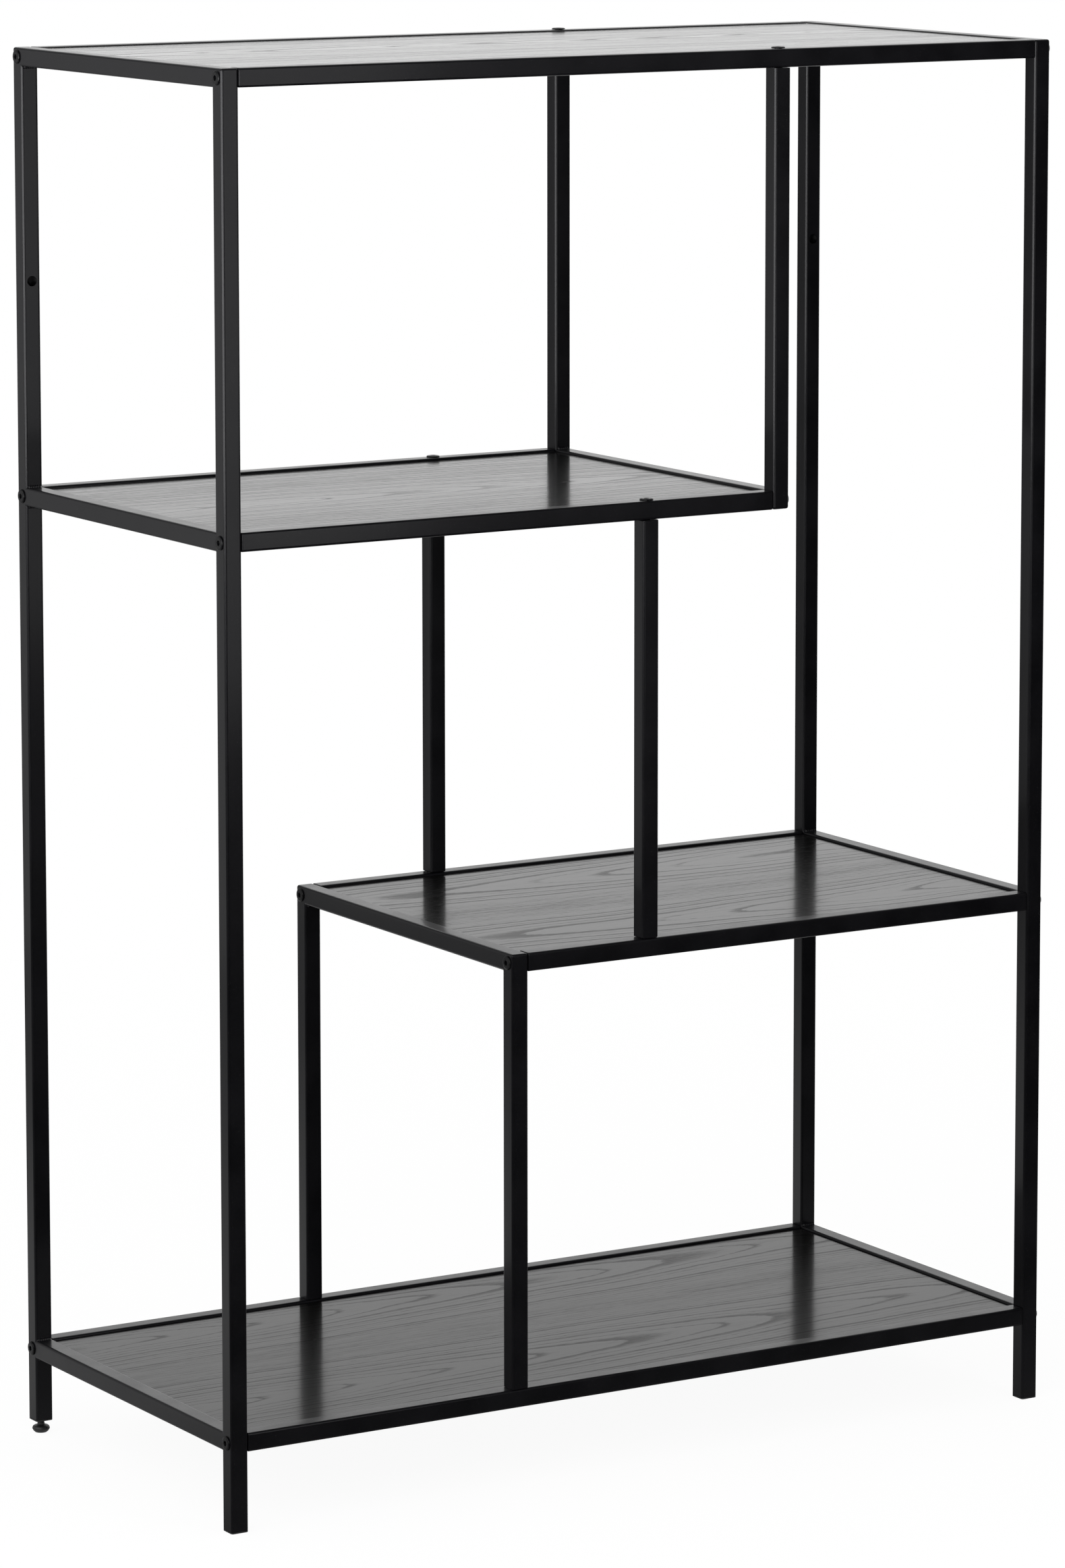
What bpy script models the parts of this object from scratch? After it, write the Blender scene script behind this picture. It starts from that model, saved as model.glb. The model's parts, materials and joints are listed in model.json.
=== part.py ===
"""Four-shelf asymmetric shelving unit: welded square-tube frames, bolted rails and inset panels.

Metres, +Z up, front towards -Y. The origin is on the floor, under the middle of the unit.
"""

import math

import bmesh
import bpy
from mathutils import Euler, Matrix, Vector

# Driving dimensions of the whole unit
WIDTH = 0.770
DEPTH = 0.350
HEIGHT = 1.140
UPPER_SHELF_TOP = 0.7855
LOWER_SHELF_TOP = 0.4325
BOTTOM_SHELF_TOP = 0.079
STANDING_FRAME_INSET = 0.2555
HANGING_FRAME_INSET = 0.254
STRUT_SHARE = 0.5

# Square tube
TUBE = 0.015
WALL = 0.0012
TUBE_EDGE = 0.0015
FRAME_CORNER = 0.0025
WELD_FILLET = 0.002
END_BLOCK = 0.012

# Fits
GAP = 0.0003
OVERRUN = 0.002
PANEL_CLEARANCE = 0.001

# Panels and their tabs
PANEL_THICKNESS = 0.010
PANEL_RECESS = 0.002
PANEL_EDGE = 0.0004
TAB_THICKNESS = 0.002
TAB_WIDTH = 0.022
TAB_REACH = 0.018

# Connector bolts
BOLT_SHANK_RADIUS = 0.003
BOLT_HEAD_RADIUS = 0.0056
BOLT_FACE_RADIUS = 0.0037
BOLT_HEAD_HEIGHT = 0.0012
BOLT_RIM_HEIGHT = 0.0004
BOLT_TIP = 0.002
BOLT_CHAMFER = 0.0006
BOLT_SOCKET_FLATS = 0.004
BOLT_SOCKET_DEPTH = 0.0020
SUNK_HEAD_RADIUS = 0.0050

# Panel screws
SCREW_SHANK_RADIUS = 0.00175
SCREW_HEAD_RADIUS = 0.0036
SCREW_FACE_RADIUS = 0.0024
SCREW_HEAD_HEIGHT = 0.0018
SCREW_RIM_HEIGHT = 0.0009
SCREW_BITE = 0.006
SCREW_CHAMFER = 0.0005

# Plugs and levelling feet
PLUG_FLANGE = 0.0012
PLUG_SHANK = 0.012
PLUG_POCKET_WALL = 0.0015
FOOT_CLEAR_HEIGHT = 0.0105
FOOT_RADIUS = 0.00725
FOOT_SOLE_RADIUS = 0.0050
FOOT_WIDEST_HEIGHT = 0.0030
FOOT_SHOULDER_RADIUS = 0.0052
FOOT_SHOULDER_HEIGHT = 0.0056
FOOT_HEAD_HEIGHT = 0.0064
FOOT_STEM_RADIUS = 0.003
FOOT_STEM_REACH = 0.025
FOOT_STEM_CHAMFER = 0.0008

# Wall-fixing holes in the back posts
WALL_HOLE_DROP = 0.1875
WALL_HOLE_ACCESS_RADIUS = 0.00425
WALL_HOLE_SCREW_RADIUS = 0.0025

# Facets
HOLE_SEGMENTS = 12
ROUND_SEGMENTS = 16
ARC_STEPS = 2
DOME_STEPS = 2
SHARP_ANGLE = math.radians(35)
WELD_DISTANCE = 0.00001

# Finishes: colour, roughness, metallic
POWDER_COAT = ((0.022, 0.022, 0.024, 1.0), 0.45, 0.0)
BLACK_ASH = ((0.035, 0.034, 0.036, 1.0), 0.42, 0.0)
BLACK_BOLT = ((0.018, 0.018, 0.019, 1.0), 0.38, 0.6)
BLACK_PLASTIC = ((0.012, 0.012, 0.012, 1.0), 0.5, 0.0)
ZINC = ((0.45, 0.45, 0.44, 1.0), 0.35, 1.0)

# Places that several pieces share
LEFT_X = -WIDTH / 2
RIGHT_X = WIDTH / 2
FRONT_Y = -DEPTH / 2
BACK_Y = DEPTH / 2
HALF_TUBE = TUBE / 2
STANDING_X = LEFT_X + STANDING_FRAME_INSET
HANGING_X = RIGHT_X - HANGING_FRAME_INSET
STRUT_X = LEFT_X + STRUT_SHARE * WIDTH
BOLT_HOLE_RADIUS = BOLT_SHANK_RADIUS + GAP
BOLT_LENGTH = TUBE + GAP + END_BLOCK + BOLT_TIP
SUNK_BOLT_LENGTH = WALL + GAP + END_BLOCK + BOLT_TIP
SUNK_ACCESS_RADIUS = SUNK_HEAD_RADIUS + GAP
TAB_TOP_DROP = PANEL_RECESS + PANEL_THICKNESS + GAP
POST_ROWS = {"front": FRONT_Y + HALF_TUBE, "back": BACK_Y - HALF_TUBE}

# Local X, Y, Z of a flat outline laid on world Y, Z, X
ACROSS = Matrix(((0, 0, 1, 0), (1, 0, 0, 0), (0, 1, 0, 0), (0, 0, 0, 1)))

# Turns that point a fastener's head along each direction
HEAD_LEFT = Euler((0, -math.pi / 2, 0))
HEAD_RIGHT = Euler((0, math.pi / 2, 0))
HEAD_UP = Euler((0, 0, 0))
HEAD_DOWN = Euler((math.pi, 0, 0))


def clear_scene():
    """Remove the objects that a new file starts with."""
    for obj in list(bpy.data.objects):
        bpy.data.objects.remove(obj, do_unlink=True)


def new_collection(name):
    """Return a new collection in the scene."""
    collection = bpy.data.collections.new(name)
    bpy.context.scene.collection.children.link(collection)
    return collection


clear_scene()
PARTS = new_collection("shelving_unit")
CUTTERS = new_collection("cutters")


def finish(obj, look):
    """Give a sub-part its own material."""
    colour, roughness, metallic = look
    material = bpy.data.materials.new(obj.name + "_finish")
    material.use_nodes = True
    shader = material.node_tree.nodes["Principled BSDF"]
    shader.inputs["Base Color"].default_value = colour
    shader.inputs["Roughness"].default_value = roughness
    shader.inputs["Metallic"].default_value = metallic
    material.diffuse_color = colour
    obj.data.materials.clear()
    obj.data.materials.append(material)


def mark_as_cutter(obj):
    """Keep a cutting shape out of the model and the render."""
    obj.hide_render = True
    obj.display_type = "WIRE"


def evaluated_mesh(obj):
    """Return a new mesh of an object with its modifiers applied."""
    bpy.context.view_layer.update()
    depsgraph = bpy.context.evaluated_depsgraph_get()
    return bpy.data.meshes.new_from_object(obj.evaluated_get(depsgraph))


def object_from_mesh(name, mesh, collection):
    """Link a new object that shows a mesh."""
    obj = bpy.data.objects.new(name, mesh)
    collection.objects.link(obj)
    if collection == CUTTERS:
        mark_as_cutter(obj)
    return obj


def arc_corner(before, corner, after, radius):
    """Return the points that round one corner of an outline."""
    if radius == 0:
        return [corner]
    to_before = (before - corner).normalized()
    to_after = (after - corner).normalized()
    start = corner + to_before * radius
    end = corner + to_after * radius
    centre = start + to_after * radius
    points = []
    for step in range(ARC_STEPS + 1):
        angle = math.pi / 2 * step / ARC_STEPS
        points.append(centre - to_after * radius * math.cos(angle) - to_before * radius * math.sin(angle))
    points[0] = start
    points[-1] = end
    return points


def round_outline(corners):
    """Return an outline's points, from (across, up, radius) corners that are all square."""
    places = [Vector((across, up)) for across, up, radius in corners]
    points = []
    for index, (across, up, radius) in enumerate(corners):
        after = places[(index + 1) % len(places)]
        points.extend(arc_corner(places[index - 1], places[index], after, radius))
    return points


def rectangle(low, high, radius):
    """Return the corners of an upright rectangle, anticlockwise."""
    return [
        (low[0], low[1], radius),
        (high[0], low[1], radius),
        (high[0], high[1], radius),
        (low[0], high[1], radius),
    ]


def extrude_outline(name, loops, thickness, matrix, collection, rim=0.0):
    """Make a solid of a flat outline: the first loop is its edge and the others are its windows."""
    curve = bpy.data.curves.new(name + "_outline", "CURVE")
    curve.dimensions = "2D"
    curve.fill_mode = "BOTH"
    curve.extrude = thickness / 2 - rim
    curve.bevel_depth = rim
    curve.bevel_resolution = 1
    curve.offset = -rim
    for corners in loops:
        points = round_outline(corners)
        spline = curve.splines.new("POLY")
        spline.points.add(len(points) - 1)
        for target, point in zip(spline.points, points):
            target.co = (point.x, point.y, 0, 1)
        spline.use_cyclic_u = True
    source = bpy.data.objects.new(name + "_curve", curve)
    collection.objects.link(source)
    mesh = evaluated_mesh(source)
    bpy.data.objects.remove(source, do_unlink=True)
    work = bmesh.new()
    work.from_mesh(mesh)
    bmesh.ops.remove_doubles(work, verts=work.verts, dist=WELD_DISTANCE)
    bmesh.ops.dissolve_limit(work, angle_limit=math.radians(1), verts=work.verts, edges=work.edges)
    bmesh.ops.recalc_face_normals(work, faces=work.faces)
    work.to_mesh(mesh)
    work.free()
    obj = object_from_mesh(name, mesh, collection)
    obj.matrix_world = matrix
    return obj


def box(name, low, high, collection):
    """Make a box between two opposite corners."""
    bpy.ops.mesh.primitive_cube_add(size=1)
    obj = bpy.context.active_object
    obj.name = name
    low = Vector(low)
    high = Vector(high)
    obj.data.transform(Matrix.Diagonal((high - low).to_4d()))
    obj.location = (low + high) / 2
    for old in list(obj.users_collection):
        old.objects.unlink(obj)
    collection.objects.link(obj)
    if collection == CUTTERS:
        mark_as_cutter(obj)
    return obj


def drill(name, holes):
    """Make one cutter of round bars, each given as (start, end, radius)."""
    work = bmesh.new()
    for start, end, radius in holes:
        start = Vector(start)
        end = Vector(end)
        turn = (end - start).to_track_quat("Z", "Y").to_matrix().to_4x4()
        place = Matrix.Translation((start + end) / 2) @ turn
        bmesh.ops.create_cone(
            work,
            cap_ends=True,
            segments=HOLE_SEGMENTS,
            radius1=radius,
            radius2=radius,
            depth=(end - start).length,
            matrix=place,
        )
    mesh = bpy.data.meshes.new(name)
    work.to_mesh(mesh)
    work.free()
    return object_from_mesh(name, mesh, CUTTERS)


def combine(obj, other, operation):
    """Add a Boolean with another object."""
    modifier = obj.modifiers.new(operation.lower() + "_" + other.name, "BOOLEAN")
    modifier.operation = operation
    modifier.object = other
    modifier.solver = "EXACT"


def placed(location, base=None):
    """Return a matrix that moves a shape to a place."""
    move = Matrix.Translation(Vector(location))
    return move @ base if base else move


def through_x(x, y, z):
    """Return the bar that drills a bolt hole through a post whose left face is at x."""
    return ((x - OVERRUN, y, z), (x + TUBE + OVERRUN, y, z), BOLT_HOLE_RADIUS)


def tab(name, root, direction, shelf_top, owner):
    """Weld a panel tab to a rail: root is the middle of the rail's inner face, seen from above."""
    root = Vector((root[0], root[1]))
    direction = Vector(direction)
    side = Vector((-direction.y, direction.x)) * TAB_WIDTH / 2
    start = root - direction * WALL / 2
    end = root + direction * TAB_REACH
    corners = (start - side, start + side, end - side, end + side)
    across = [corner.x for corner in corners]
    along = [corner.y for corner in corners]
    top = shelf_top - TAB_TOP_DROP
    low = (min(across), min(along), top - TAB_THICKNESS)
    high = (max(across), max(along), top)
    combine(owner, box(name, low, high, CUTTERS), "UNION")


def post_bolt_holes(x, levels):
    """Return the bolt holes through the front and back posts of a frame at each shelf level."""
    holes = []
    for level in levels:
        for y in POST_ROWS.values():
            holes.append(through_x(x, y, level - HALF_TUBE))
    return holes


def wall_holes(x):
    """Return the stepped wall-fixing hole of a back post whose left face is at x."""
    centre_x = x + HALF_TUBE
    centre_z = HEIGHT - WALL_HOLE_DROP
    middle = BACK_Y - HALF_TUBE
    front = (centre_x, BACK_Y - TUBE - OVERRUN, centre_z)
    back = (centre_x, BACK_Y + OVERRUN, centre_z)
    centre = (centre_x, middle, centre_z)
    return [(front, centre, WALL_HOLE_ACCESS_RADIUS), (centre, back, WALL_HOLE_SCREW_RADIUS)]


def side_frame(name, x, shelf_top, tab_direction):
    """Make a welded side frame with posts, and depth rails at the top, one shelf and the bottom."""
    front_end = PLUG_FLANGE + GAP
    back_end = FOOT_CLEAR_HEIGHT + PLUG_FLANGE + GAP
    inner_front = FRONT_Y + TUBE
    inner_back = BACK_Y - TUBE
    under_rail = BOTTOM_SHELF_TOP - TUBE
    edge = [
        (FRONT_Y, front_end, 0),
        (inner_front, front_end, 0),
        (inner_front, under_rail, WELD_FILLET),
        (inner_back, under_rail, WELD_FILLET),
        (inner_back, back_end, 0),
        (BACK_Y, back_end, 0),
        (BACK_Y, HEIGHT, FRAME_CORNER),
        (FRONT_Y, HEIGHT, FRAME_CORNER),
    ]
    upper_window = rectangle((inner_front, shelf_top), (inner_back, HEIGHT - TUBE), WELD_FILLET)
    lower_window = rectangle((inner_front, BOTTOM_SHELF_TOP), (inner_back, shelf_top - TUBE), WELD_FILLET)
    matrix = placed((x + HALF_TUBE, 0, 0), ACROSS)
    loops = [edge, upper_window[::-1], lower_window[::-1]]
    frame = extrude_outline(name, loops, TUBE, matrix, PARTS, TUBE_EDGE)

    for level_name, level in (("top", HEIGHT), ("shelf", shelf_top), ("bottom", BOTTOM_SHELF_TOP)):
        root = (x + HALF_TUBE + tab_direction * HALF_TUBE, 0)
        tab(name + "_" + level_name + "_tab", root, (tab_direction, 0), level, frame)

    cavity_edge = [
        (FRONT_Y + WALL, front_end - OVERRUN, 0),
        (inner_front - WALL, front_end - OVERRUN, 0),
        (inner_front - WALL, under_rail + WALL, 0),
        (inner_back + WALL, under_rail + WALL, 0),
        (inner_back + WALL, back_end - OVERRUN, 0),
        (BACK_Y - WALL, back_end - OVERRUN, 0),
        (BACK_Y - WALL, HEIGHT - WALL, 0),
        (FRONT_Y + WALL, HEIGHT - WALL, 0),
    ]
    cavity_loops = [cavity_edge]
    for low_z, high_z in ((shelf_top, HEIGHT - TUBE), (BOTTOM_SHELF_TOP, shelf_top - TUBE)):
        window = rectangle((inner_front - WALL, low_z - WALL), (inner_back + WALL, high_z + WALL), 0)
        cavity_loops.append(window[::-1])
    cavity = extrude_outline(name + "_cavity", cavity_loops, TUBE - 2 * WALL, matrix, CUTTERS)
    combine(frame, cavity, "DIFFERENCE")
    holes = post_bolt_holes(x, (HEIGHT, shelf_top, BOTTOM_SHELF_TOP)) + wall_holes(x)
    combine(frame, drill(name + "_holes", holes), "DIFFERENCE")
    finish(frame, POWDER_COAT)


def inner_frame(name, x, low, high, rail_at_top, tab_direction):
    """Make a welded three-sided frame: two posts between low and high, joined by one depth rail."""
    inner_front = FRONT_Y + TUBE
    inner_back = BACK_Y - TUBE
    level = high if rail_at_top else low + TUBE
    near = high if rail_at_top else low
    far = low if rail_at_top else high
    inner_near = near - TUBE if rail_at_top else near + TUBE
    edge = [
        (FRONT_Y, far, 0),
        (inner_front, far, 0),
        (inner_front, inner_near, WELD_FILLET),
        (inner_back, inner_near, WELD_FILLET),
        (inner_back, far, 0),
        (BACK_Y, far, 0),
        (BACK_Y, near, FRAME_CORNER),
        (FRONT_Y, near, FRAME_CORNER),
    ]
    inward = WALL if rail_at_top else -WALL
    block = END_BLOCK if rail_at_top else -END_BLOCK
    cavity_edge = [
        (FRONT_Y + WALL, far + block, 0),
        (inner_front - WALL, far + block, 0),
        (inner_front - WALL, inner_near + inward, 0),
        (inner_back + WALL, inner_near + inward, 0),
        (inner_back + WALL, far + block, 0),
        (BACK_Y - WALL, far + block, 0),
        (BACK_Y - WALL, near - inward, 0),
        (FRONT_Y + WALL, near - inward, 0),
    ]
    if not rail_at_top:
        edge.reverse()
        cavity_edge.reverse()
    matrix = placed((x + HALF_TUBE, 0, 0), ACROSS)
    frame = extrude_outline(name, [edge], TUBE, matrix, PARTS, TUBE_EDGE)
    root = (x + HALF_TUBE + tab_direction * HALF_TUBE, 0)
    tab(name + "_tab", root, (tab_direction, 0), level, frame)
    cavity = extrude_outline(name + "_cavity", [cavity_edge], TUBE - 2 * WALL, matrix, CUTTERS)
    combine(frame, cavity, "DIFFERENCE")
    holes = post_bolt_holes(x, (level,))
    reach = block + (OVERRUN if rail_at_top else -OVERRUN)
    for y in POST_ROWS.values():
        outside = (x + HALF_TUBE, y, far - reach)
        inside = (x + HALF_TUBE, y, far + reach)
        holes.append((outside, inside, BOLT_HOLE_RADIUS))
    combine(frame, drill(name + "_holes", holes), "DIFFERENCE")
    finish(frame, POWDER_COAT)


def tube_section(inset):
    """Return the corners of the tube's section, drawn inwards by an inset."""
    size = HALF_TUBE - inset
    radius = TUBE_EDGE if inset == 0 else 0
    return rectangle((-size, -size), (size, size), radius)


def upright_holes(x, y, shelf_top, sunk):
    """Return a rail's holes for one upright bolt, wide below when its head is sunk in the rail."""
    middle = shelf_top - HALF_TUBE
    top = (x, y, shelf_top + OVERRUN)
    bottom = (x, y, shelf_top - TUBE - OVERRUN)
    if not sunk:
        return [(bottom, top, BOLT_HOLE_RADIUS)]
    return [
        (bottom, (x, y, middle - OVERRUN), SUNK_ACCESS_RADIUS),
        ((x, y, middle + OVERRUN), top, BOLT_HOLE_RADIUS),
    ]


def long_rail(name, start, end, row, shelf_top, crossings):
    """Make a long rail between two frames, with end blocks, a panel tab and holes for upright bolts.

    Each crossing is the place of an upright bolt along X, and whether its head is sunk in the rail.
    """
    y = POST_ROWS[row]
    z = shelf_top - HALF_TUBE
    middle = (start + end) / 2
    length = end - start
    matrix = placed((middle, y, z), ACROSS)
    rail = extrude_outline(name, [tube_section(0)], length, matrix, PARTS)
    inward = 1 if row == "front" else -1
    root = (middle, y + inward * HALF_TUBE)
    tab(name + "_tab", root, (0, inward), shelf_top, rail)
    cavity_length = length - 2 * END_BLOCK
    cavity = extrude_outline(name + "_cavity", [tube_section(WALL)], cavity_length, matrix, CUTTERS)
    combine(rail, cavity, "DIFFERENCE")
    holes = [
        ((start - OVERRUN, y, z), (start + END_BLOCK + OVERRUN, y, z), BOLT_HOLE_RADIUS),
        ((end - END_BLOCK - OVERRUN, y, z), (end + OVERRUN, y, z), BOLT_HOLE_RADIUS),
    ]
    for x, sunk in crossings:
        holes.extend(upright_holes(x, y, shelf_top, sunk))
    screw_y = root[1] + inward * TAB_REACH / 2
    tab_top = shelf_top - TAB_TOP_DROP
    screw_bottom = (middle, screw_y, tab_top - TAB_THICKNESS - OVERRUN)
    screw_top = (middle, screw_y, tab_top + OVERRUN)
    holes.append((screw_bottom, screw_top, SCREW_SHANK_RADIUS + GAP))
    combine(rail, drill(name + "_holes", holes), "DIFFERENCE")
    finish(rail, POWDER_COAT)


def strut(name, row):
    """Make an upright strut between the lower and the upper shelf, with a threaded block at each end."""
    y = POST_ROWS[row]
    low = LOWER_SHELF_TOP + GAP
    high = UPPER_SHELF_TOP - TUBE - GAP
    matrix = placed((STRUT_X, y, (low + high) / 2))
    upright = extrude_outline(name, [tube_section(0)], high - low, matrix, PARTS)
    cavity_length = high - low - 2 * END_BLOCK
    cavity = extrude_outline(name + "_cavity", [tube_section(WALL)], cavity_length, matrix, CUTTERS)
    combine(upright, cavity, "DIFFERENCE")
    reach = END_BLOCK + OVERRUN
    holes = [
        ((STRUT_X, y, low - reach), (STRUT_X, y, low + reach), BOLT_HOLE_RADIUS),
        ((STRUT_X, y, high - reach), (STRUT_X, y, high + reach), BOLT_HOLE_RADIUS),
    ]
    combine(upright, drill(name + "_holes", holes), "DIFFERENCE")
    finish(upright, POWDER_COAT)


def panel(name, start, end, shelf_top):
    """Make an inset shelf panel between two frames, with a blind screw hole over each long rail's tab."""
    surface = shelf_top - PANEL_RECESS
    low = (start + PANEL_CLEARANCE, FRONT_Y + TUBE + PANEL_CLEARANCE, surface - PANEL_THICKNESS)
    high = (end - PANEL_CLEARANCE, BACK_Y - TUBE - PANEL_CLEARANCE, surface)
    board = box(name, low, high, PARTS)
    edges = board.modifiers.new("eased_edges", "BEVEL")
    edges.width = PANEL_EDGE
    edges.segments = 1
    edges.limit_method = "ANGLE"
    middle = (start + end) / 2
    holes = []
    for side in (-1, 1):
        y = side * (BACK_Y - TUBE - TAB_REACH / 2)
        bottom = (middle, y, low[2] - OVERRUN)
        top = (middle, y, low[2] + SCREW_BITE + GAP)
        holes.append((bottom, top, SCREW_SHANK_RADIUS + GAP))
    combine(board, drill(name + "_pilot_holes", holes), "DIFFERENCE")
    finish(board, BLACK_ASH)


def turned_mesh(name, profile, socket=None):
    """Return the mesh of a profile turned about Z, with an optional (flats, top, depth) hexagon socket."""
    mesh = bpy.data.meshes.new(name + "_profile")
    points = [(radius, 0, height) for radius, height in profile]
    mesh.from_pydata(points, [(index, index + 1) for index in range(len(points) - 1)], [])
    body = object_from_mesh(name + "_turned", mesh, CUTTERS)
    spin = body.modifiers.new("turn", "SCREW")
    spin.axis = "Z"
    spin.steps = ROUND_SEGMENTS
    spin.render_steps = ROUND_SEGMENTS
    spin.use_merge_vertices = True
    spin.merge_threshold = WELD_DISTANCE
    if socket:
        flats, top, depth = socket
        work = bmesh.new()
        corner_radius = flats / 2 / math.cos(math.pi / 6)
        bmesh.ops.create_cone(
            work,
            cap_ends=True,
            segments=6,
            radius1=corner_radius,
            radius2=corner_radius,
            depth=2 * depth,
            matrix=Matrix.Translation((0, 0, top)),
        )
        hexagon = bpy.data.meshes.new(name + "_socket")
        work.to_mesh(hexagon)
        work.free()
        combine(body, object_from_mesh(name + "_socket", hexagon, CUTTERS), "DIFFERENCE")
    turned = evaluated_mesh(body)
    turned.name = name
    turned.shade_smooth()
    turned.set_sharp_from_angle(angle=SHARP_ANGLE)
    for leftover in [item for item in CUTTERS.objects if item.name.startswith(name + "_")]:
        bpy.data.objects.remove(leftover, do_unlink=True)
    return turned


def dome(face_radius, head_radius, rim_height, head_height):
    """Return the points of a low domed head, from its flat face down to its rim."""
    points = []
    for step in range(DOME_STEPS + 1):
        angle = math.pi / 2 * step / DOME_STEPS
        radius = face_radius + (head_radius - face_radius) * math.sin(angle)
        height = rim_height + (head_height - rim_height) * math.cos(angle)
        points.append((radius, height))
    return points


def fastener_profile(head, shank_radius, length, chamfer):
    """Return a fastener's half section: head up from zero, shank down from it."""
    face_radius, head_radius, rim_height, head_height = head
    points = [(0, head_height)]
    points.extend(dome(face_radius, head_radius, rim_height, head_height))
    points.append((head_radius, 0))
    points.append((shank_radius, 0))
    points.append((shank_radius, chamfer - length))
    points.append((shank_radius - chamfer, -length))
    points.append((0, -length))
    return points


def bolt_mesh(name, head_radius, length):
    """Return the mesh that the connector bolts of one kind share."""
    head = (BOLT_FACE_RADIUS, head_radius, BOLT_RIM_HEIGHT, BOLT_HEAD_HEIGHT)
    profile = fastener_profile(head, BOLT_SHANK_RADIUS, length, BOLT_CHAMFER)
    return turned_mesh(name, profile, (BOLT_SOCKET_FLATS, BOLT_HEAD_HEIGHT, BOLT_SOCKET_DEPTH))


def screw_mesh():
    """Return the mesh that the panel screws share."""
    head = (SCREW_FACE_RADIUS, SCREW_HEAD_RADIUS, SCREW_RIM_HEIGHT, SCREW_HEAD_HEIGHT)
    length = GAP + TAB_THICKNESS + GAP + SCREW_BITE - SCREW_CHAMFER
    profile = fastener_profile(head, SCREW_SHANK_RADIUS, length, SCREW_CHAMFER)
    return turned_mesh("panel_screw", profile)


def foot_mesh():
    """Return the mesh that the levelling feet share: a mushroom glide on a stem."""
    profile = [
        (0, FOOT_CLEAR_HEIGHT + FOOT_STEM_REACH),
        (FOOT_STEM_RADIUS - FOOT_STEM_CHAMFER, FOOT_CLEAR_HEIGHT + FOOT_STEM_REACH),
        (FOOT_STEM_RADIUS, FOOT_CLEAR_HEIGHT + FOOT_STEM_REACH - FOOT_STEM_CHAMFER),
        (FOOT_STEM_RADIUS, FOOT_HEAD_HEIGHT),
    ]
    profile.extend(dome(FOOT_SHOULDER_RADIUS, FOOT_RADIUS, FOOT_WIDEST_HEIGHT, FOOT_SHOULDER_HEIGHT))
    profile.append((FOOT_SOLE_RADIUS, 0))
    profile.append((0, 0))
    return turned_mesh("levelling_foot", profile)


def fastener(name, mesh, place, turn, look):
    """Place one fastener with its head's underside a seat gap off the face at a place."""
    obj = object_from_mesh(name, mesh.copy(), PARTS)
    obj.rotation_euler = turn
    outward = turn.to_matrix() @ Vector((0, 0, 1))
    obj.location = Vector(place) + outward * GAP
    finish(obj, look)


def frame_bolts(mesh):
    """Place the bolts that hold the long rails to the frames' posts."""
    outer = {"top": HEIGHT, "bottom": BOTTOM_SHELF_TOP}
    groups = (
        ("left", LEFT_X, HEAD_LEFT, {**outer, "upper": UPPER_SHELF_TOP}),
        ("right", RIGHT_X, HEAD_RIGHT, {**outer, "lower": LOWER_SHELF_TOP}),
        ("standing", STANDING_X, HEAD_LEFT, {"lower": LOWER_SHELF_TOP}),
        ("hanging", HANGING_X, HEAD_RIGHT, {"upper": UPPER_SHELF_TOP}),
    )
    for side, x, turn, levels in groups:
        for level, shelf_top in levels.items():
            for row, y in POST_ROWS.items():
                name = "_".join((side, level, row, "bolt"))
                fastener(name, mesh, (x, y, shelf_top - HALF_TUBE), turn, BLACK_BOLT)


def upright_bolts(mesh, sunk_mesh):
    """Place the bolts that hold the hanging posts, the struts and the standing posts.

    Those under the struts and the standing posts sit inside their rail, against its upper wall.
    """
    groups = (
        ("hanger_top", mesh, HANGING_X - HALF_TUBE, HEIGHT, HEAD_UP),
        ("strut_top", mesh, STRUT_X, UPPER_SHELF_TOP, HEAD_UP),
        ("strut_base", sunk_mesh, STRUT_X, LOWER_SHELF_TOP - WALL, HEAD_DOWN),
        ("stand_base", sunk_mesh, STANDING_X + HALF_TUBE, BOTTOM_SHELF_TOP - WALL, HEAD_DOWN),
    )
    for place, shape, x, z, turn in groups:
        for row, y in POST_ROWS.items():
            fastener("_".join((place, row, "bolt")), shape, (x, y, z), turn, BLACK_BOLT)


def panel_screws(mesh, level, start, end, shelf_top):
    """Place the two screws that hold a panel down on the long rails' tabs."""
    tab_bottom = shelf_top - TAB_TOP_DROP - TAB_THICKNESS
    for row, side in (("front", -1), ("back", 1)):
        y = side * (BACK_Y - TUBE - TAB_REACH / 2)
        place = ((start + end) / 2, y, tab_bottom)
        fastener("_".join((level, "panel", row, "screw")), mesh, place, HEAD_DOWN, ZINC)


def tube_plug(name, x, y, low):
    """Return a square plug for a tube's end: a flange with its underside at low, and a shank above."""
    outer = placed((x, y, low + PLUG_FLANGE / 2))
    flange = extrude_outline(name, [tube_section(0)], PLUG_FLANGE, outer, PARTS)
    reach = HALF_TUBE - WALL - GAP
    shank_low = (x - reach, y - reach, low + PLUG_FLANGE / 2)
    shank_high = (x + reach, y + reach, low + PLUG_FLANGE + PLUG_SHANK)
    combine(flange, box(name + "_shank", shank_low, shank_high, CUTTERS), "UNION")
    finish(flange, BLACK_PLASTIC)
    return flange


def end_plug(name, x):
    """Make the closed plug that a front post stands on, with a pocket in its shank."""
    y = POST_ROWS["front"]
    plug = tube_plug(name, x, y, 0)
    reach = HALF_TUBE - WALL - GAP - PLUG_POCKET_WALL
    pocket_low = (x - reach, y - reach, PLUG_FLANGE)
    pocket_high = (x + reach, y + reach, PLUG_FLANGE + PLUG_SHANK + OVERRUN)
    combine(plug, box(name + "_pocket", pocket_low, pocket_high, CUTTERS), "DIFFERENCE")


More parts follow.
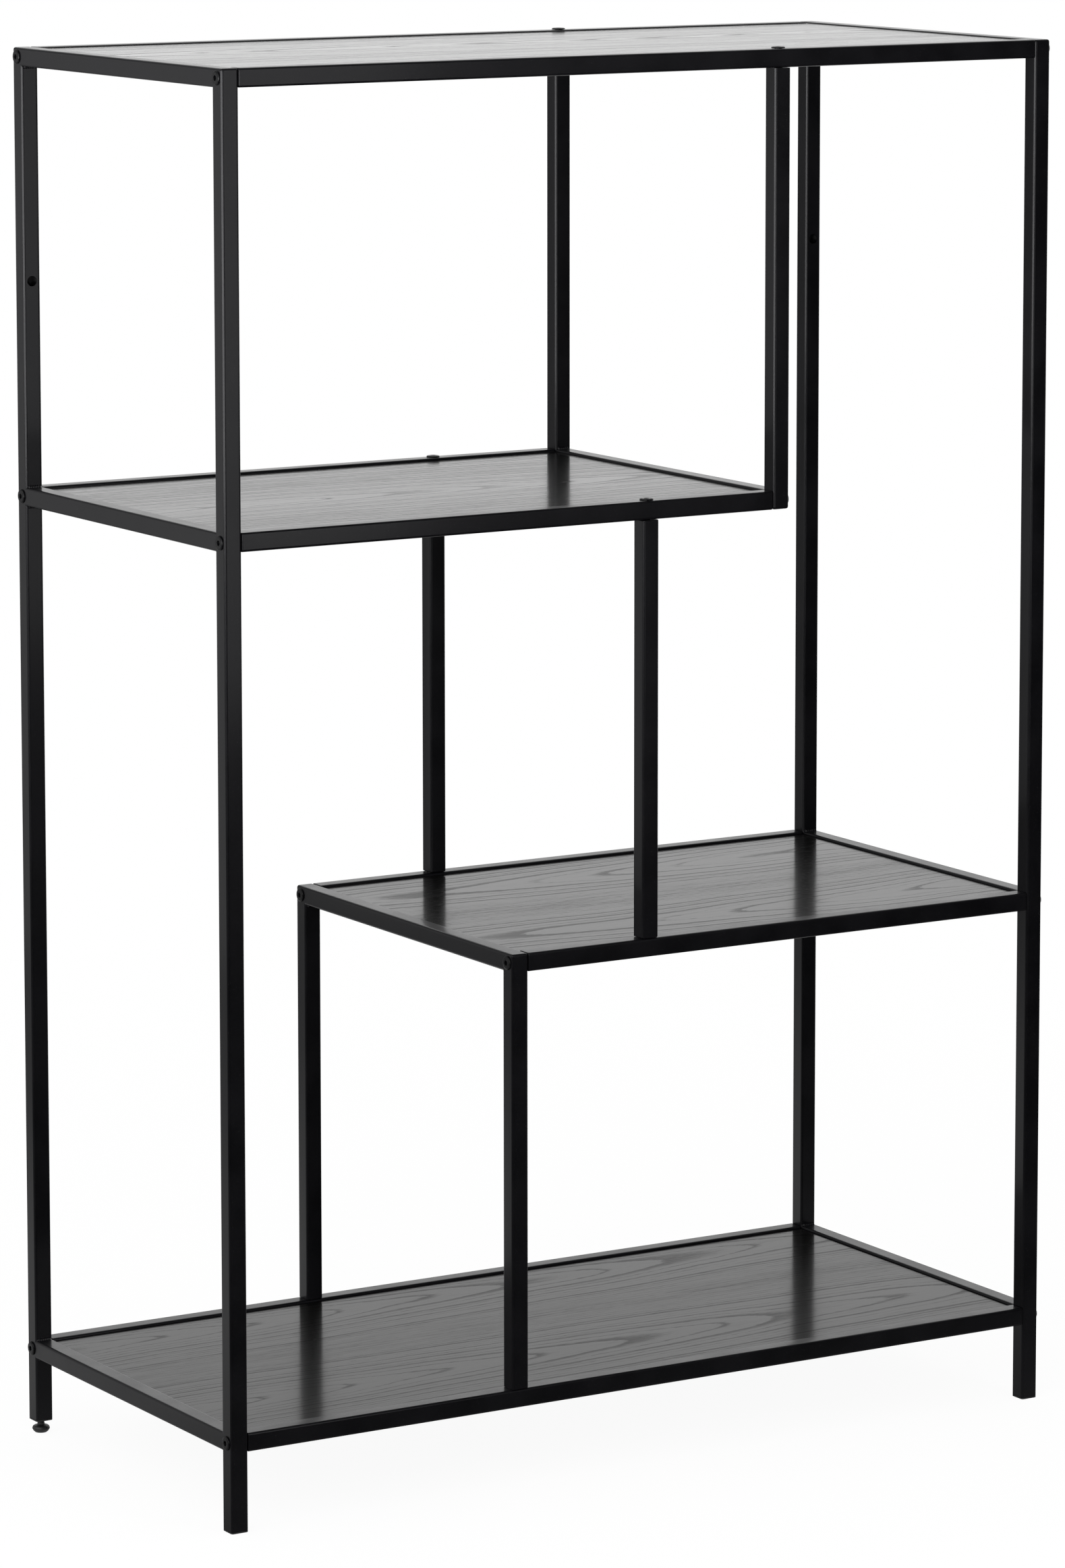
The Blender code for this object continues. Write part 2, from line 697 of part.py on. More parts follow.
def foot_insert(name, x):
    """Make the threaded insert that closes a back post and takes a levelling foot."""
    y = POST_ROWS["back"]
    insert = tube_plug(name, x, y, FOOT_CLEAR_HEIGHT)
    bottom = (x, y, FOOT_CLEAR_HEIGHT - OVERRUN)
    top = (x, y, FOOT_CLEAR_HEIGHT + PLUG_FLANGE + PLUG_SHANK + OVERRUN)
    combine(insert, drill(name + "_thread", [(bottom, top, FOOT_STEM_RADIUS + GAP)]), "DIFFERENCE")


def levelling_foot(name, mesh, x):
    """Place a levelling foot with its origin on its screw axis, at the floor."""
    foot = object_from_mesh(name, mesh.copy(), PARTS)
    foot.location = (x, POST_ROWS["back"], 0)
    finish(foot, BLACK_PLASTIC)


def build_frames():
    """Make the four welded frames."""
    side_frame("left_side_frame", LEFT_X, UPPER_SHELF_TOP, 1)
    side_frame("right_side_frame", RIGHT_X - TUBE, LOWER_SHELF_TOP, -1)
    hang_low = UPPER_SHELF_TOP - TUBE
    hang_high = HEIGHT - TUBE - GAP
    inner_frame("hanging_frame", HANGING_X - TUBE, hang_low, hang_high, False, -1)
    stand_low = BOTTOM_SHELF_TOP + GAP
    inner_frame("standing_frame", STANDING_X, stand_low, LOWER_SHELF_TOP, True, 1)


def build_shelves():
    """Make each shelf's two long rails, its panel and the panel's screws."""
    left = LEFT_X + TUBE
    right = RIGHT_X - TUBE
    hanger_x = HANGING_X - HALF_TUBE
    stand_x = STANDING_X + HALF_TUBE
    shelves = (
        ("top", left, right, HEIGHT, [(hanger_x, False)]),
        ("upper", left, HANGING_X - TUBE, UPPER_SHELF_TOP, [(STRUT_X, False)]),
        ("lower", STANDING_X + TUBE, right, LOWER_SHELF_TOP, [(STRUT_X, True)]),
        ("bottom", left, right, BOTTOM_SHELF_TOP, [(stand_x, True)]),
    )
    screws = screw_mesh()
    for level, start, end, shelf_top, crossings in shelves:
        for row in POST_ROWS:
            long_rail("_".join((level, row, "rail")), start + GAP, end - GAP, row, shelf_top, crossings)
        panel(level + "_panel", start, end, shelf_top)
        panel_screws(screws, level, start, end, shelf_top)


def build_feet():
    """Make the plugs of the front posts, and the inserts and levelling feet of the back posts."""
    feet = foot_mesh()
    for side, x in (("left", LEFT_X + HALF_TUBE), ("right", RIGHT_X - HALF_TUBE)):
        end_plug(side + "_end_plug", x)
        foot_insert(side + "_foot_insert", x)
        levelling_foot(side + "_levelling_foot", feet, x)


def main():
    """Build the unit."""
    build_frames()
    build_shelves()
    for row in POST_ROWS:
        strut(row + "_strut", row)
    bolts = bolt_mesh("connector_bolt", BOLT_HEAD_RADIUS, BOLT_LENGTH)
    sunk_bolts = bolt_mesh("sunk_bolt", SUNK_HEAD_RADIUS, SUNK_BOLT_LENGTH)
    frame_bolts(bolts)
    upright_bolts(bolts, sunk_bolts)
    build_feet()


main()
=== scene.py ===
"""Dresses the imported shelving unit: welded tube frames, bolted rails, ash panels, fittings and studio.

Metres throughout, +Z up, front towards -Y, with the origin on the floor under the unit's middle.
"""

import json
import logging
import math
from contextlib import contextmanager
from dataclasses import dataclass, field
from enum import Enum
from typing import Callable, ClassVar, Iterator, NamedTuple, Sequence

import bmesh
import bpy
from mathutils import Matrix, Vector


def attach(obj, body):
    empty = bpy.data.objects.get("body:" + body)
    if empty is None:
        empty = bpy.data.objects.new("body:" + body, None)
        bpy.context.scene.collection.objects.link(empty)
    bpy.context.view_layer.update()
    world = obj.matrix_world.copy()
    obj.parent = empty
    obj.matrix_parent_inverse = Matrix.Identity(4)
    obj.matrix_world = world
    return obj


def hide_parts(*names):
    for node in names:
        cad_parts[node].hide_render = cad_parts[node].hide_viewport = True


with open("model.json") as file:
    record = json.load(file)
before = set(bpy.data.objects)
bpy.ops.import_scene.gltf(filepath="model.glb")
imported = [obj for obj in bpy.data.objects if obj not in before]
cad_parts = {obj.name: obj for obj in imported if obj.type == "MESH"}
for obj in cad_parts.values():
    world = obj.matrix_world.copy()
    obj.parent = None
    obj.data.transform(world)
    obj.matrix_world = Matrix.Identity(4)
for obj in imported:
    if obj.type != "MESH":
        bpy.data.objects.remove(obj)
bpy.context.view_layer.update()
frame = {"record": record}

LOG = logging.getLogger("shelving_unit")

# Edges bent more than this are bevelled
SHARP_ANGLE = math.radians(35)
# Edges bent less than this are shaded round
SMOOTH_ANGLE = math.radians(32)
# Faces bent less than this against each other become one
FLAT_ANGLE = math.radians(1)
# The least share of a normal that has to point the way a face is said to look
SQUARELY = 0.9
# How far a cutting tool goes past what it cuts
OVERRUN = 0.002
# Places nearer than this are the same place
SAME_PLACE = 0.00002
# Vertices nearer than this are merged
MERGE_DISTANCE = 0.000001
# The middle of fractal noise, and the values that nearly all and most of it lies between
NOISE_MIDDLE = 0.5
ALL_NOISE = (0.3, 0.7)
MOST_NOISE = (0.35, 0.65)

Point = tuple[float, float, float]
Span = tuple[float, float]
Test = Callable[[Vector, Vector], bool]
Object = bpy.types.Object
Material = bpy.types.Material
Socket = bpy.types.NodeSocket
Value = Socket | float | tuple[float, ...]


class Slot(Enum):
    """The record's material slots."""

    POWDER_COAT = "powder_coat"
    BLACK_ASH = "black_ash"
    BLACK_BOLT = "black_bolt"
    ZINC_SCREW = "zinc_screw"
    BLACK_PLASTIC = "black_plastic"


class Half(Enum):
    """Two halves of the unit, by the sign of their places on one axis."""

    @property
    def label(self) -> str:
        """The half's word in node names."""
        return self.name.lower()


class Row(Half):
    """The two rows of posts and long rails, along Y."""

    FRONT = -1
    BACK = 1


class Side(Half):
    """The unit's two sides, along X."""

    LEFT = -1
    RIGHT = 1


class Axis(Enum):
    """The directions that a straight tube can run in."""

    ALONG_X = 0
    ALONG_Z = 2


class Change(Enum):
    """What a Boolean does to a piece."""

    CUT = "DIFFERENCE"
    WELD = "UNION"


class Pick(Enum):
    """What edit mode selects."""

    VERTICES = "VERT"
    EDGES = "EDGE"
    FACES = "FACE"


class Coordinates(Enum):
    """The coordinates that patterns can read."""

    ON_OBJECT = "Object"
    ROUND_ABOUT = "Generated"


class Facing(Enum):
    """Where a fastener's head points, as turns about X and Y in degrees."""

    UP = (0.0, 0.0)
    DOWN = (180.0, 0.0)
    LEFT = (0.0, -90.0)
    RIGHT = (0.0, 90.0)

    def matrix(self) -> Matrix:
        """The turn from a fastener that is modelled head up."""
        about_x, about_y = (math.radians(angle) for angle in self.value)
        return Matrix.Rotation(about_y, 4, "Y") @ Matrix.Rotation(about_x, 4, "X")


@dataclass(frozen=True)
class UnitPlan:
    """The unit's main sizes, and those that several kinds of piece share.

    Attributes:
        upper_shelf: The top of the upper shelf's rails.
        lower_shelf: The top of the lower shelf's rails.
        bottom_shelf: The top of the bottom shelf's rails.
        wall: The thickness of the tube's wall.
        edge_radius: The radius of the tube's long edges.
        gap: The gap between two neighbouring pieces.
        end_block: The length of the threaded block in a tube's end.
        bolt_hole: The radius of the connector bolts' holes.
        standing_left: The left face of the standing frame.
        hanging_left: The left face of the hanging frame.
        strut_middle: The middle of the struts along X.
        flange: The thickness of the plugs' flanges.
        foot_clear: The height of the foot inserts' undersides.
    """

    width: float = 0.770
    depth: float = 0.350
    height: float = 1.140
    upper_shelf: float = 0.7855
    lower_shelf: float = 0.4325
    bottom_shelf: float = 0.079
    tube: float = 0.015
    wall: float = 0.0012
    edge_radius: float = 0.0020
    edge_steps: int = 4
    gap: float = 0.0003
    end_block: float = 0.012
    bolt_hole: float = 0.0033
    standing_left: float = -0.1295
    hanging_left: float = 0.116
    strut_middle: float = 0.0
    flange: float = 0.0012
    foot_clear: float = 0.0105

    @property
    def left(self) -> float:
        """The unit's left face."""
        return -self.width / 2

    @property
    def right(self) -> float:
        """The unit's right face."""
        return self.width / 2

    @property
    def half_tube(self) -> float:
        """Half the tube's side."""
        return self.tube / 2

    @property
    def inner_y(self) -> float:
        """How far the posts' inner faces are from the middle."""
        return self.depth / 2 - self.tube

    def row_y(self, row: Row) -> float:
        """The middle of a row's tubes."""
        return row.value * (self.depth / 2 - self.half_tube)


PLAN = UnitPlan()


class Bench:
    """The modelling steps that the pieces share, each done with Blender's own operators."""

    @staticmethod
    def activate(obj: Object) -> None:
        """Select one object alone and make it the active one.

        Args:
            obj: The object.
        """
        bpy.ops.object.select_all(action="DESELECT")
        obj.select_set(True)
        bpy.context.view_layer.objects.active = obj

    @staticmethod
    def settle() -> Object:
        """Put a new primitive's place into its mesh and return it."""
        bpy.ops.object.transform_apply(location=True, rotation=True, scale=True)
        return bpy.context.active_object

    @staticmethod
    def block(low: Sequence[float], high: Sequence[float]) -> Object:
        """Add a cube that fills the box between two corners.

        Args:
            low: The lowest corner.
            high: The highest corner.

        Returns:
            The new object.
        """
        low_corner, high_corner = Vector(low), Vector(high)
        bpy.ops.object.select_all(action="DESELECT")
        middle = (low_corner + high_corner) / 2
        bpy.ops.mesh.primitive_cube_add(size=1, location=middle, scale=high_corner - low_corner)
        return Bench.settle()

    @staticmethod
    def rod(start: Sequence[float], end: Sequence[float], radius: float, sides: int = 32) -> Object:
        """Add a round bar between two points.

        Args:
            start: The middle of one end.
            end: The middle of the other end.
            radius: The bar's radius.
            sides: The number of flat sides.

        Returns:
            The new object.
        """
        start_point, end_point = Vector(start), Vector(end)
        span = end_point - start_point
        bpy.ops.object.select_all(action="DESELECT")
        bpy.ops.mesh.primitive_cylinder_add(
            vertices=sides,
            radius=radius,
            depth=span.length,
            location=(start_point + end_point) / 2,
            rotation=span.to_track_quat("Z", "Y").to_euler(),
        )
        return Bench.settle()

    @staticmethod
    def turned(profile: Sequence[Span], steps: int) -> Object:
        """Spin a half section about the Z axis.

        Args:
            profile: The section's points as (radius, height), from one end of the axis to the other.
            steps: The number of steps round the axis.

        Returns:
            The new closed object.
        """
        points = [Vector((radius, 0, height)) for radius, height in profile]
        bpy.ops.object.select_all(action="DESELECT")
        bpy.ops.mesh.primitive_plane_add(size=profile[1][0])
        obj = Bench.settle()
        with Bench.editing(obj, Pick.VERTICES):
            bpy.ops.mesh.select_all(action="SELECT")
            bpy.ops.mesh.merge(type="CENTER")
            bpy.ops.transform.translate(value=points[0])
            for before, after in zip(points, points[1:]):
                bpy.ops.mesh.extrude_vertices_move(TRANSFORM_OT_translate={"value": after - before})
            bpy.ops.mesh.select_all(action="SELECT")
            bpy.ops.mesh.spin(steps=steps, angle=math.tau, center=(0, 0, 0), axis=(0, 0, 1))
            bpy.ops.mesh.select_all(action="SELECT")
            bpy.ops.mesh.remove_doubles(threshold=MERGE_DISTANCE)
            bpy.ops.mesh.normals_make_consistent(inside=False)
        return obj

    @staticmethod
    @contextmanager
    def editing(obj: Object, pick: Pick) -> Iterator[None]:
        """Keep an object in edit mode with nothing selected at first.

        Args:
            obj: The object to edit.
            pick: What can be selected in it.

        Yields:
            Nothing; the object leaves edit mode afterwards.
        """
        Bench.activate(obj)
        bpy.ops.object.mode_set(mode="EDIT")
        bpy.ops.mesh.select_mode(type=pick.value)
        bpy.ops.mesh.select_all(action="DESELECT")
        yield
        bpy.ops.object.mode_set(mode="OBJECT")

    @staticmethod
    def pick_faces(obj: Object, test: Test) -> None:
        """Select the faces whose middle and normal pass a test.

        Args:
            obj: An object in edit mode.
            test: Takes a face's middle and normal.
        """
        bpy.ops.mesh.select_all(action="DESELECT")
        work = bmesh.from_edit_mesh(obj.data)
        for face in work.faces:
            if test(face.calc_center_median(), face.normal):
                face.select_set(True)
        bmesh.update_edit_mesh(obj.data)

    @staticmethod
    def round_edges(obj: Object, radius: float, steps: int, test: Test) -> None:
        """Bevel the sharp edges that pass a test.

        Args:
            obj: The object, in object mode.
            radius: The bevel's width.
            steps: The bevel's segments.
            test: Takes the places of an edge's ends.
        """
        with Bench.editing(obj, Pick.EDGES):
            work = bmesh.from_edit_mesh(obj.data)
            for edge in work.edges:
                start, end = (vertex.co for vertex in edge.verts)
                if edge.calc_face_angle(0.0) > SHARP_ANGLE and test(start, end):
                    edge.select_set(True)
            bmesh.update_edit_mesh(obj.data)
            bpy.ops.mesh.bevel(offset=radius, segments=steps, affect="EDGES")

    @staticmethod
    def cut_across(place: Point, normal: Point) -> None:
        """Bisect the whole mesh in edit mode, which stays in one piece, at a plane.

        Args:
            place: A point on the plane.
            normal: The plane's normal.
        """
        bpy.ops.mesh.select_all(action="SELECT")
        bpy.ops.mesh.bisect(plane_co=place, plane_no=normal)

    @staticmethod
    def pull_faces(obj: Object, test: Test, move: Point) -> None:
        """Extrude the faces that pass a test.

        Args:
            obj: An object in edit mode.
            test: Takes a face's middle and normal.
            move: How far the new faces go.
        """
        Bench.pick_faces(obj, test)
        bpy.ops.mesh.extrude_region_move(TRANSFORM_OT_translate={"value": move})

    @staticmethod
    def combine(obj: Object, change: Change, tools: Sequence[Object]) -> None:
        """Join tools into one, apply it to a piece and throw it away.

        Args:
            obj: The piece that changes.
            change: Whether the tools cut it or are welded to it.
            tools: The tools, which don't overlap one another.
        """
        Bench.activate(tools[0])
        for tool in tools[1:]:
            tool.select_set(True)
        if len(tools) > 1:
            bpy.ops.object.join()
        Bench.activate(obj)
        modifier = obj.modifiers.new("change", "BOOLEAN")
        modifier.operation = change.value
        modifier.solver = "EXACT"
        modifier.object = tools[0]
        bpy.ops.object.modifier_apply(modifier=modifier.name)
        Bench.discard(tools[0])

    @staticmethod
    def discard(obj: Object) -> None:
        """Throw an object away."""
        bpy.data.objects.remove(obj, do_unlink=True)

    @staticmethod
    def polish(obj: Object) -> None:
        """Shade smoothly between the sharp edges, with flat faces kept flat.

        Args:
            obj: The object, in object mode.
        """
        Bench.activate(obj)
        bpy.ops.object.shade_smooth_by_angle(angle=SMOOTH_ANGLE)
        modifier = obj.modifiers.new("flat_faces", "WEIGHTED_NORMAL")
        modifier.keep_sharp = True
        bpy.ops.object.modifier_apply(modifier=modifier.name)

    @staticmethod
    def copy_of(obj: Object, matrix: Matrix) -> Object:
        """Copy an object with a mesh of its own, moved in the mesh.

        Args:
            obj: The model.
            matrix: Where the copy goes.

        Returns:
            The copy, at the origin and unturned.
        """
        copy = obj.copy()
        copy.data = obj.data.copy()
        copy.data.transform(matrix)
        bpy.context.scene.collection.objects.link(copy)
        return copy


class Grain(NamedTuple):
    """Fractal noise: its scale for each metre of the position, and its octaves."""

    scale: float
    detail: float = 2.0


class Relief(NamedTuple):
    """A bump: what a height of 1 stands for in metres, and the share of it that shows."""

    depth: float
    share: float


class NodeBoard:
    """A node tree whose nodes are added and wired one by one."""

    def __init__(
        self, tree: bpy.types.NodeTree, coordinates: Coordinates = Coordinates.ON_OBJECT
    ) -> None:
        """Take up a tree.

        Args:
            tree: The tree of a material or of the world.
            coordinates: The coordinates that its patterns read.
        """
        self.tree = tree
        self.place = self.add("TexCoord", {}).outputs[coordinates.value]

    def fill(self, socket: Socket, value: Value) -> None:
        """Link an input to what feeds it, or set its own value.

        Args:
            socket: The input.
            value: A socket to link it to, or the value to set.
        """
        if isinstance(value, Socket):
            self.tree.links.new(value, socket)
        else:
            socket.default_value = value

    def add(self, kind: str, inputs: dict[str | int, Value], **settings: str) -> bpy.types.Node:
        """Add a node.

        Args:
            kind: The node's type, without the words that every type begins with.
            inputs: What fills its inputs, by their names or numbers.
            **settings: The node's own settings.

        Returns:
            The node.
        """
        node = self.tree.nodes.new("ShaderNode" + kind)
        for name, setting in settings.items():
            setattr(node, name, setting)
        for key, value in inputs.items():
            self.fill(node.inputs[key], value)
        return node

    def stretched(self, scale: Point, location: Point = (0.0, 0.0, 0.0)) -> Socket:
        """Map the board's coordinates by a scale for each axis, and move them by a location."""
        mapping = self.add("Mapping", {"Vector": self.place, "Scale": scale, "Location": location})
        return mapping.outputs["Vector"]

    def noise(self, grain: Grain, place: Socket | None = None) -> Socket:
        """Add fractal noise.

        Args:
            grain: Its scale and octaves.
            place: The position it reads, or the board's own coordinates.

        Returns:
            Its value, near 0.5 on average.
        """
        source = self.place if place is None else place
        texture = self.add("TexNoise", {"Vector": source, "Scale": grain.scale, "Detail": grain.detail})
        return texture.outputs["Fac"]

    def math(self, operation: str, first: Value, second: Value = 0.0) -> Socket:
        """Work out a Math node's operation on one or two values."""
        return self.add("Math", {0: first, 1: second}, operation=operation).outputs["Value"]

    def plus(self, first: Value, second: Value) -> Socket:
        """Add two values."""
        return self.math("ADD", first, second)

    def minus(self, first: Value, second: Value) -> Socket:
        """Take the second value from the first."""
        return self.math("SUBTRACT", first, second)

    def times(self, first: Value, second: Value) -> Socket:
        """Multiply two values."""
        return self.math("MULTIPLY", first, second)

    def ramp(
        self, value: Socket, low: float, high: float, to_low: Value = 0.0, to_high: Value = 1.0
    ) -> Socket:
        """Map a range of values smoothly to another range.

        Args:
            value: The value to map.
            low: The value that gives to_low.
            high: The value that gives to_high.
            to_low: The first result.
            to_high: The last result.

        Returns:
            The mapped value, kept between the two results.
        """
        ends = {"From Min": low, "From Max": high, "To Min": to_low, "To Max": to_high}
        node = self.add("MapRange", {"Value": value, **ends}, interpolation_type="SMOOTHSTEP")
        return node.outputs["Result"]

    def blend(self, share: Socket, first: Socket | Point, second: Socket | Point) -> Socket:
        """Mix two colours.

        Args:
            share: How much of the second colour shows.
            first: A colour or a socket.
            second: A colour or a socket.

        Returns:
            The mixed colour.
        """
        node = self.add("Mix", {"Factor": share}, data_type="RGBA")
        sockets = {socket.name: socket for socket in node.inputs if socket.type == "RGBA"}
        for name, colour in (("A", first), ("B", second)):
            self.fill(sockets[name], (*colour, 1.0) if isinstance(colour, tuple) else colour)
        return next(socket for socket in node.outputs if socket.type == "RGBA")

    def bump(self, height: Socket, relief: Relief, under: Socket | None = None) -> Socket:
        """Turn a height into a bumped normal.

        Args:
            height: The height, from 0 to 1.
            relief: The bump's depth and share.
            under: A coarser bump that this one lies on.

        Returns:
            The normal.
        """
        node = self.add("Bump", {"Height": height, "Distance": relief.depth, "Strength": relief.share})
        if under is not None:
            self.fill(node.inputs["Normal"], under)
        return node.outputs["Normal"]


class FinishBoard(NodeBoard):
    """The node tree of a finish's material."""

    def __init__(self, name: str) -> None:
        """Start a material that has only its shader and its output.

        Args:
            name: The material's name.
        """
        self.material = bpy.data.materials.new(name)
        self.material.use_nodes = True
        super().__init__(self.material.node_tree)

    def shade(self, inputs: dict[str, Value]) -> Material:
        """Fill the shader's own sockets.

        Args:
            inputs: What fills them, by their names.

        Returns:
            The material.
        """
        shader = self.tree.nodes["Principled BSDF"]
        for name, value in inputs.items():
            self.fill(shader.inputs[name], value)
        return self.material


@dataclass(frozen=True)
class PowderCoat:
    """Fine-textured black powder coat on steel tube: soft clouds, orange peel, grit and some dust.

    Attributes:
        deep: The darkest colour of the clouds.
        thin: The lightest colour of the clouds, and the colour of the grit.
        dust: The colour of the dust.
        mirror: The shader's specular level.
        grit_edges: The values of noise between which the grit comes out.
        grit_share: How much of its colour the grit shows at most.
        speck_edges: The values of noise between which the dust comes out.
        uneven_shares: How much the clouds and the grit each count in the roughness.
    """

    deep: Point = (0.0012, 0.0012, 0.0016)
    thin: Point = (0.0030, 0.0029, 0.0037)
    dust: Point = (0.018, 0.018, 0.019)
    mirror: float = 0.13
    tint: Point = (0.96, 0.955, 1.0)
    roughness: Span = (0.31, 0.42)
    coat_weight: float = 0.5
    coat_roughness: float = 0.13
    coat_index: float = 1.25
    clouds: Grain = Grain(22.0, 4.0)
    grit: Grain = Grain(2600.0)
    grit_edges: Span = (0.35, 0.7)
    grit_share: float = 0.5
    grit_relief: Relief = Relief(0.00002, 0.6)
    peel: Grain = Grain(700.0, 1.0)
    peel_relief: Relief = Relief(0.00003, 0.5)
    specks: Grain = Grain(1500.0, 0.0)
    speck_edges: Span = (0.82, 0.88)
    uneven_shares: Span = (0.6, 0.4)

    def material(self) -> Material:
        """Build the material.

        Returns:
            The powder coat.
        """
        board = FinishBoard("powder_coat_finish")
        cloud = board.noise(self.clouds)
        grit = board.noise(self.grit)
        waves = board.bump(board.noise(self.peel), self.peel_relief)
        specks = board.ramp(board.noise(self.specks), *self.speck_edges)
        coat = board.blend(board.ramp(cloud, *ALL_NOISE), self.deep, self.thin)
        coat = board.blend(board.ramp(grit, *self.grit_edges, 0.0, self.grit_share), coat, self.thin)
        cloud_share, grit_share = self.uneven_shares
        uneven = board.plus(board.times(cloud, cloud_share), board.times(grit, grit_share))
        return board.shade({
            "Base Color": board.blend(specks, coat, self.dust),
            "Roughness": board.ramp(uneven, *MOST_NOISE, *self.roughness),
            "Specular IOR Level": self.mirror,
            "Specular Tint": (*self.tint, 1.0),
            "Coat Weight": self.coat_weight,
            "Coat Roughness": self.coat_roughness,
            "Coat IOR": self.coat_index,
            "Normal": board.bump(grit, self.grit_relief, waves),
            "Coat Normal": waves,
        })


@dataclass(frozen=True)
class BlackAsh:
    """Black-stained ash veneer under satin lacquer, with its grain along the shelf.

    The drift, swell, waver, fray, fibre, dashes and ripple are scales of noise along X, Y and Z.

    Attributes:
        name: The shelf's word.
        heart: Where the middle of a row of arches lies along Y.
        toward: The side that the arches point to.
        seed: What sets this leaf of veneer apart from the others.
        row_pitch: How far apart the middles of neighbouring rows of arches are.
        ring: The width of a year's ring.
        pith_depth: How deep the log's middle lies under the leaf at the shelf's middle.
        taper: How much deeper it gets for each metre along the shelf.
        smooth: The colour of the dense wood.
        pores: The colour of the open wood.
        mirror: The shader's specular level.
        lacquer: How thick the lacquer looks on the dense and on the open wood.
        seed_steps: How far a seed of 1 moves the noise along each axis.
        drift_reach: How far the rows of arches drift along Y in all.
        swell_reach: How far the log's middle rises and falls in all.
        waver_rings: How many rings' width the lines waver by.
        fray_rings: How many rings' width their edges fray by.
        chance_step: How far apart the noise is read for two rings that are neighbours.
        early_widths: What a ring's early wood is narrower or wider by, at least and at most.
        early_end: The share of an ordinary ring where its early wood has faded out.
        onset: The share of a ring over which its early wood sets in.
        ring_depths: How strongly a ring's early wood shows, at least and at most.
        depth_offset: What sets the drawing of those depths apart from that of the widths.
        plain_edges: How far from a row's middle the plain grain begins and is full.
        plain_fading: How much of the arches is lost in it.
        plain_veil: How much more open it is.
        fibre_reach: How far the fine fibres lighten and darken the wood in all.
        dash_edges: The values of noise between which the dashes of pores come out.
        dash_depth: How dark a dash is at most.
        dash_ground: How much of the dashes shows outside the arches.
    """

    name: str
    heart: float
    toward: Side
    seed: float
    row_pitch: float = 0.200
    ring: float = 0.0043
    pith_depth: float = 0.044
    taper: float = 0.050
    smooth: Point = (0.0042, 0.0041, 0.0039)
    pores: Point = (0.0012, 0.0012, 0.0012)
    mirror: float = 0.02
    roughness: Span = (0.28, 0.45)
    lacquer: Span = (1.0, 0.60)
    lacquer_roughness: float = 0.12
    lacquer_index: float = 1.16
    seed_steps: Point = (1.0, 0.37, 0.73)
    drift: Point = (3.2, 1.5, 1.0)
    drift_reach: float = 0.035
    swell: Point = (8.0, 3.0, 1.0)
    swell_reach: float = 0.006
    waver: Point = (6.0, 26.0, 1.0)
    waver_rings: float = 0.6
    fray: Point = (60.0, 900.0, 300.0)
    fray_rings: float = 0.22
    chance_step: float = 1.37
    early_widths: Span = (0.45, 1.9)
    early_end: float = 0.45
    onset: float = 0.06
    ring_depths: Span = (0.45, 1.0)
    depth_offset: float = 40.0
    plain_edges: Span = (0.050, 0.095)
    plain_fading: float = 0.6
    plain_veil: float = 0.20
    fibre: Point = (16.0, 420.0, 200.0)
    fibre_detail: float = 4.0
    fibre_reach: float = 1.2
    dashes: Point = (110.0, 1500.0, 700.0)
    dash_edges: Span = (0.45, 0.68)
    dash_depth: float = 0.7
    dash_ground: float = 0.20
    ripple: Point = (6.0, 60.0, 20.0)
    ripple_detail: float = 2.0
    ripple_relief: Relief = Relief(0.00006, 0.3)
    pore_relief: Relief = Relief(0.00004, 0.5)

    def noise(self, board: NodeBoard, scale: Point, detail: float = 1.0) -> Socket:
        """Draw noise on this leaf of veneer, with a scale for each axis."""
        leaf = board.stretched(scale, tuple(self.seed * step for step in self.seed_steps))
        return board.noise(Grain(1.0, detail), leaf)

    def swing(self, board: NodeBoard, scale: Point, reach: float, detail: float = 1.0) -> Socket:
        """Draw noise on this leaf that swings to both sides of zero.

        Args:
            board: The material's board.
            scale: Its scale for each axis.
            reach: How far it swings in all.
            detail: Its octaves.

        Returns:
            Its value.
        """
        return board.times(board.minus(self.noise(board, scale, detail), NOISE_MIDDLE), reach)

    def ring_distance(self, board: NodeBoard) -> tuple[Socket, Socket]:
        """Measure how far a point is from the middle of the log that the veneer was cut from.

        Args:
            board: The material's board.

        Returns:
            The distance from the nearest row's middle, and the distance from the log's middle.
        """
        parts = board.add("SeparateXYZ", {"Vector": board.place}).outputs
        across = board.plus(parts["Y"], self.swing(board, self.drift, self.drift_reach))
        from_row = board.math("PINGPONG", board.minus(across, self.heart), self.row_pitch / 2)
        swell = self.swing(board, self.swell, self.swell_reach)
        slope = board.times(parts["X"], self.taper * self.toward.value)
        depth = board.plus(board.plus(slope, self.pith_depth), swell)
        square = board.plus(board.math("POWER", from_row, 2.0), board.math("POWER", depth, 2.0))
        return from_row, board.math("SQRT", square)

    def chance(self, board: NodeBoard, count: Socket, offset: float, results: Span) -> Socket:
        """Draw a value for each ring of the tree.

        Args:
            board: The material's board.
            count: The ring's number, whose whole part is used.
            offset: What sets one drawing apart from another.
            results: The least and the greatest value.

        Returns:
            The value.
        """
        number = board.times(board.math("FLOOR", count), self.chance_step)
        place = board.add("CombineXYZ", {"X": number, "Y": self.seed + offset}).outputs["Vector"]
        return board.ramp(board.noise(Grain(1.0, 0.0), place), *MOST_NOISE, *results)

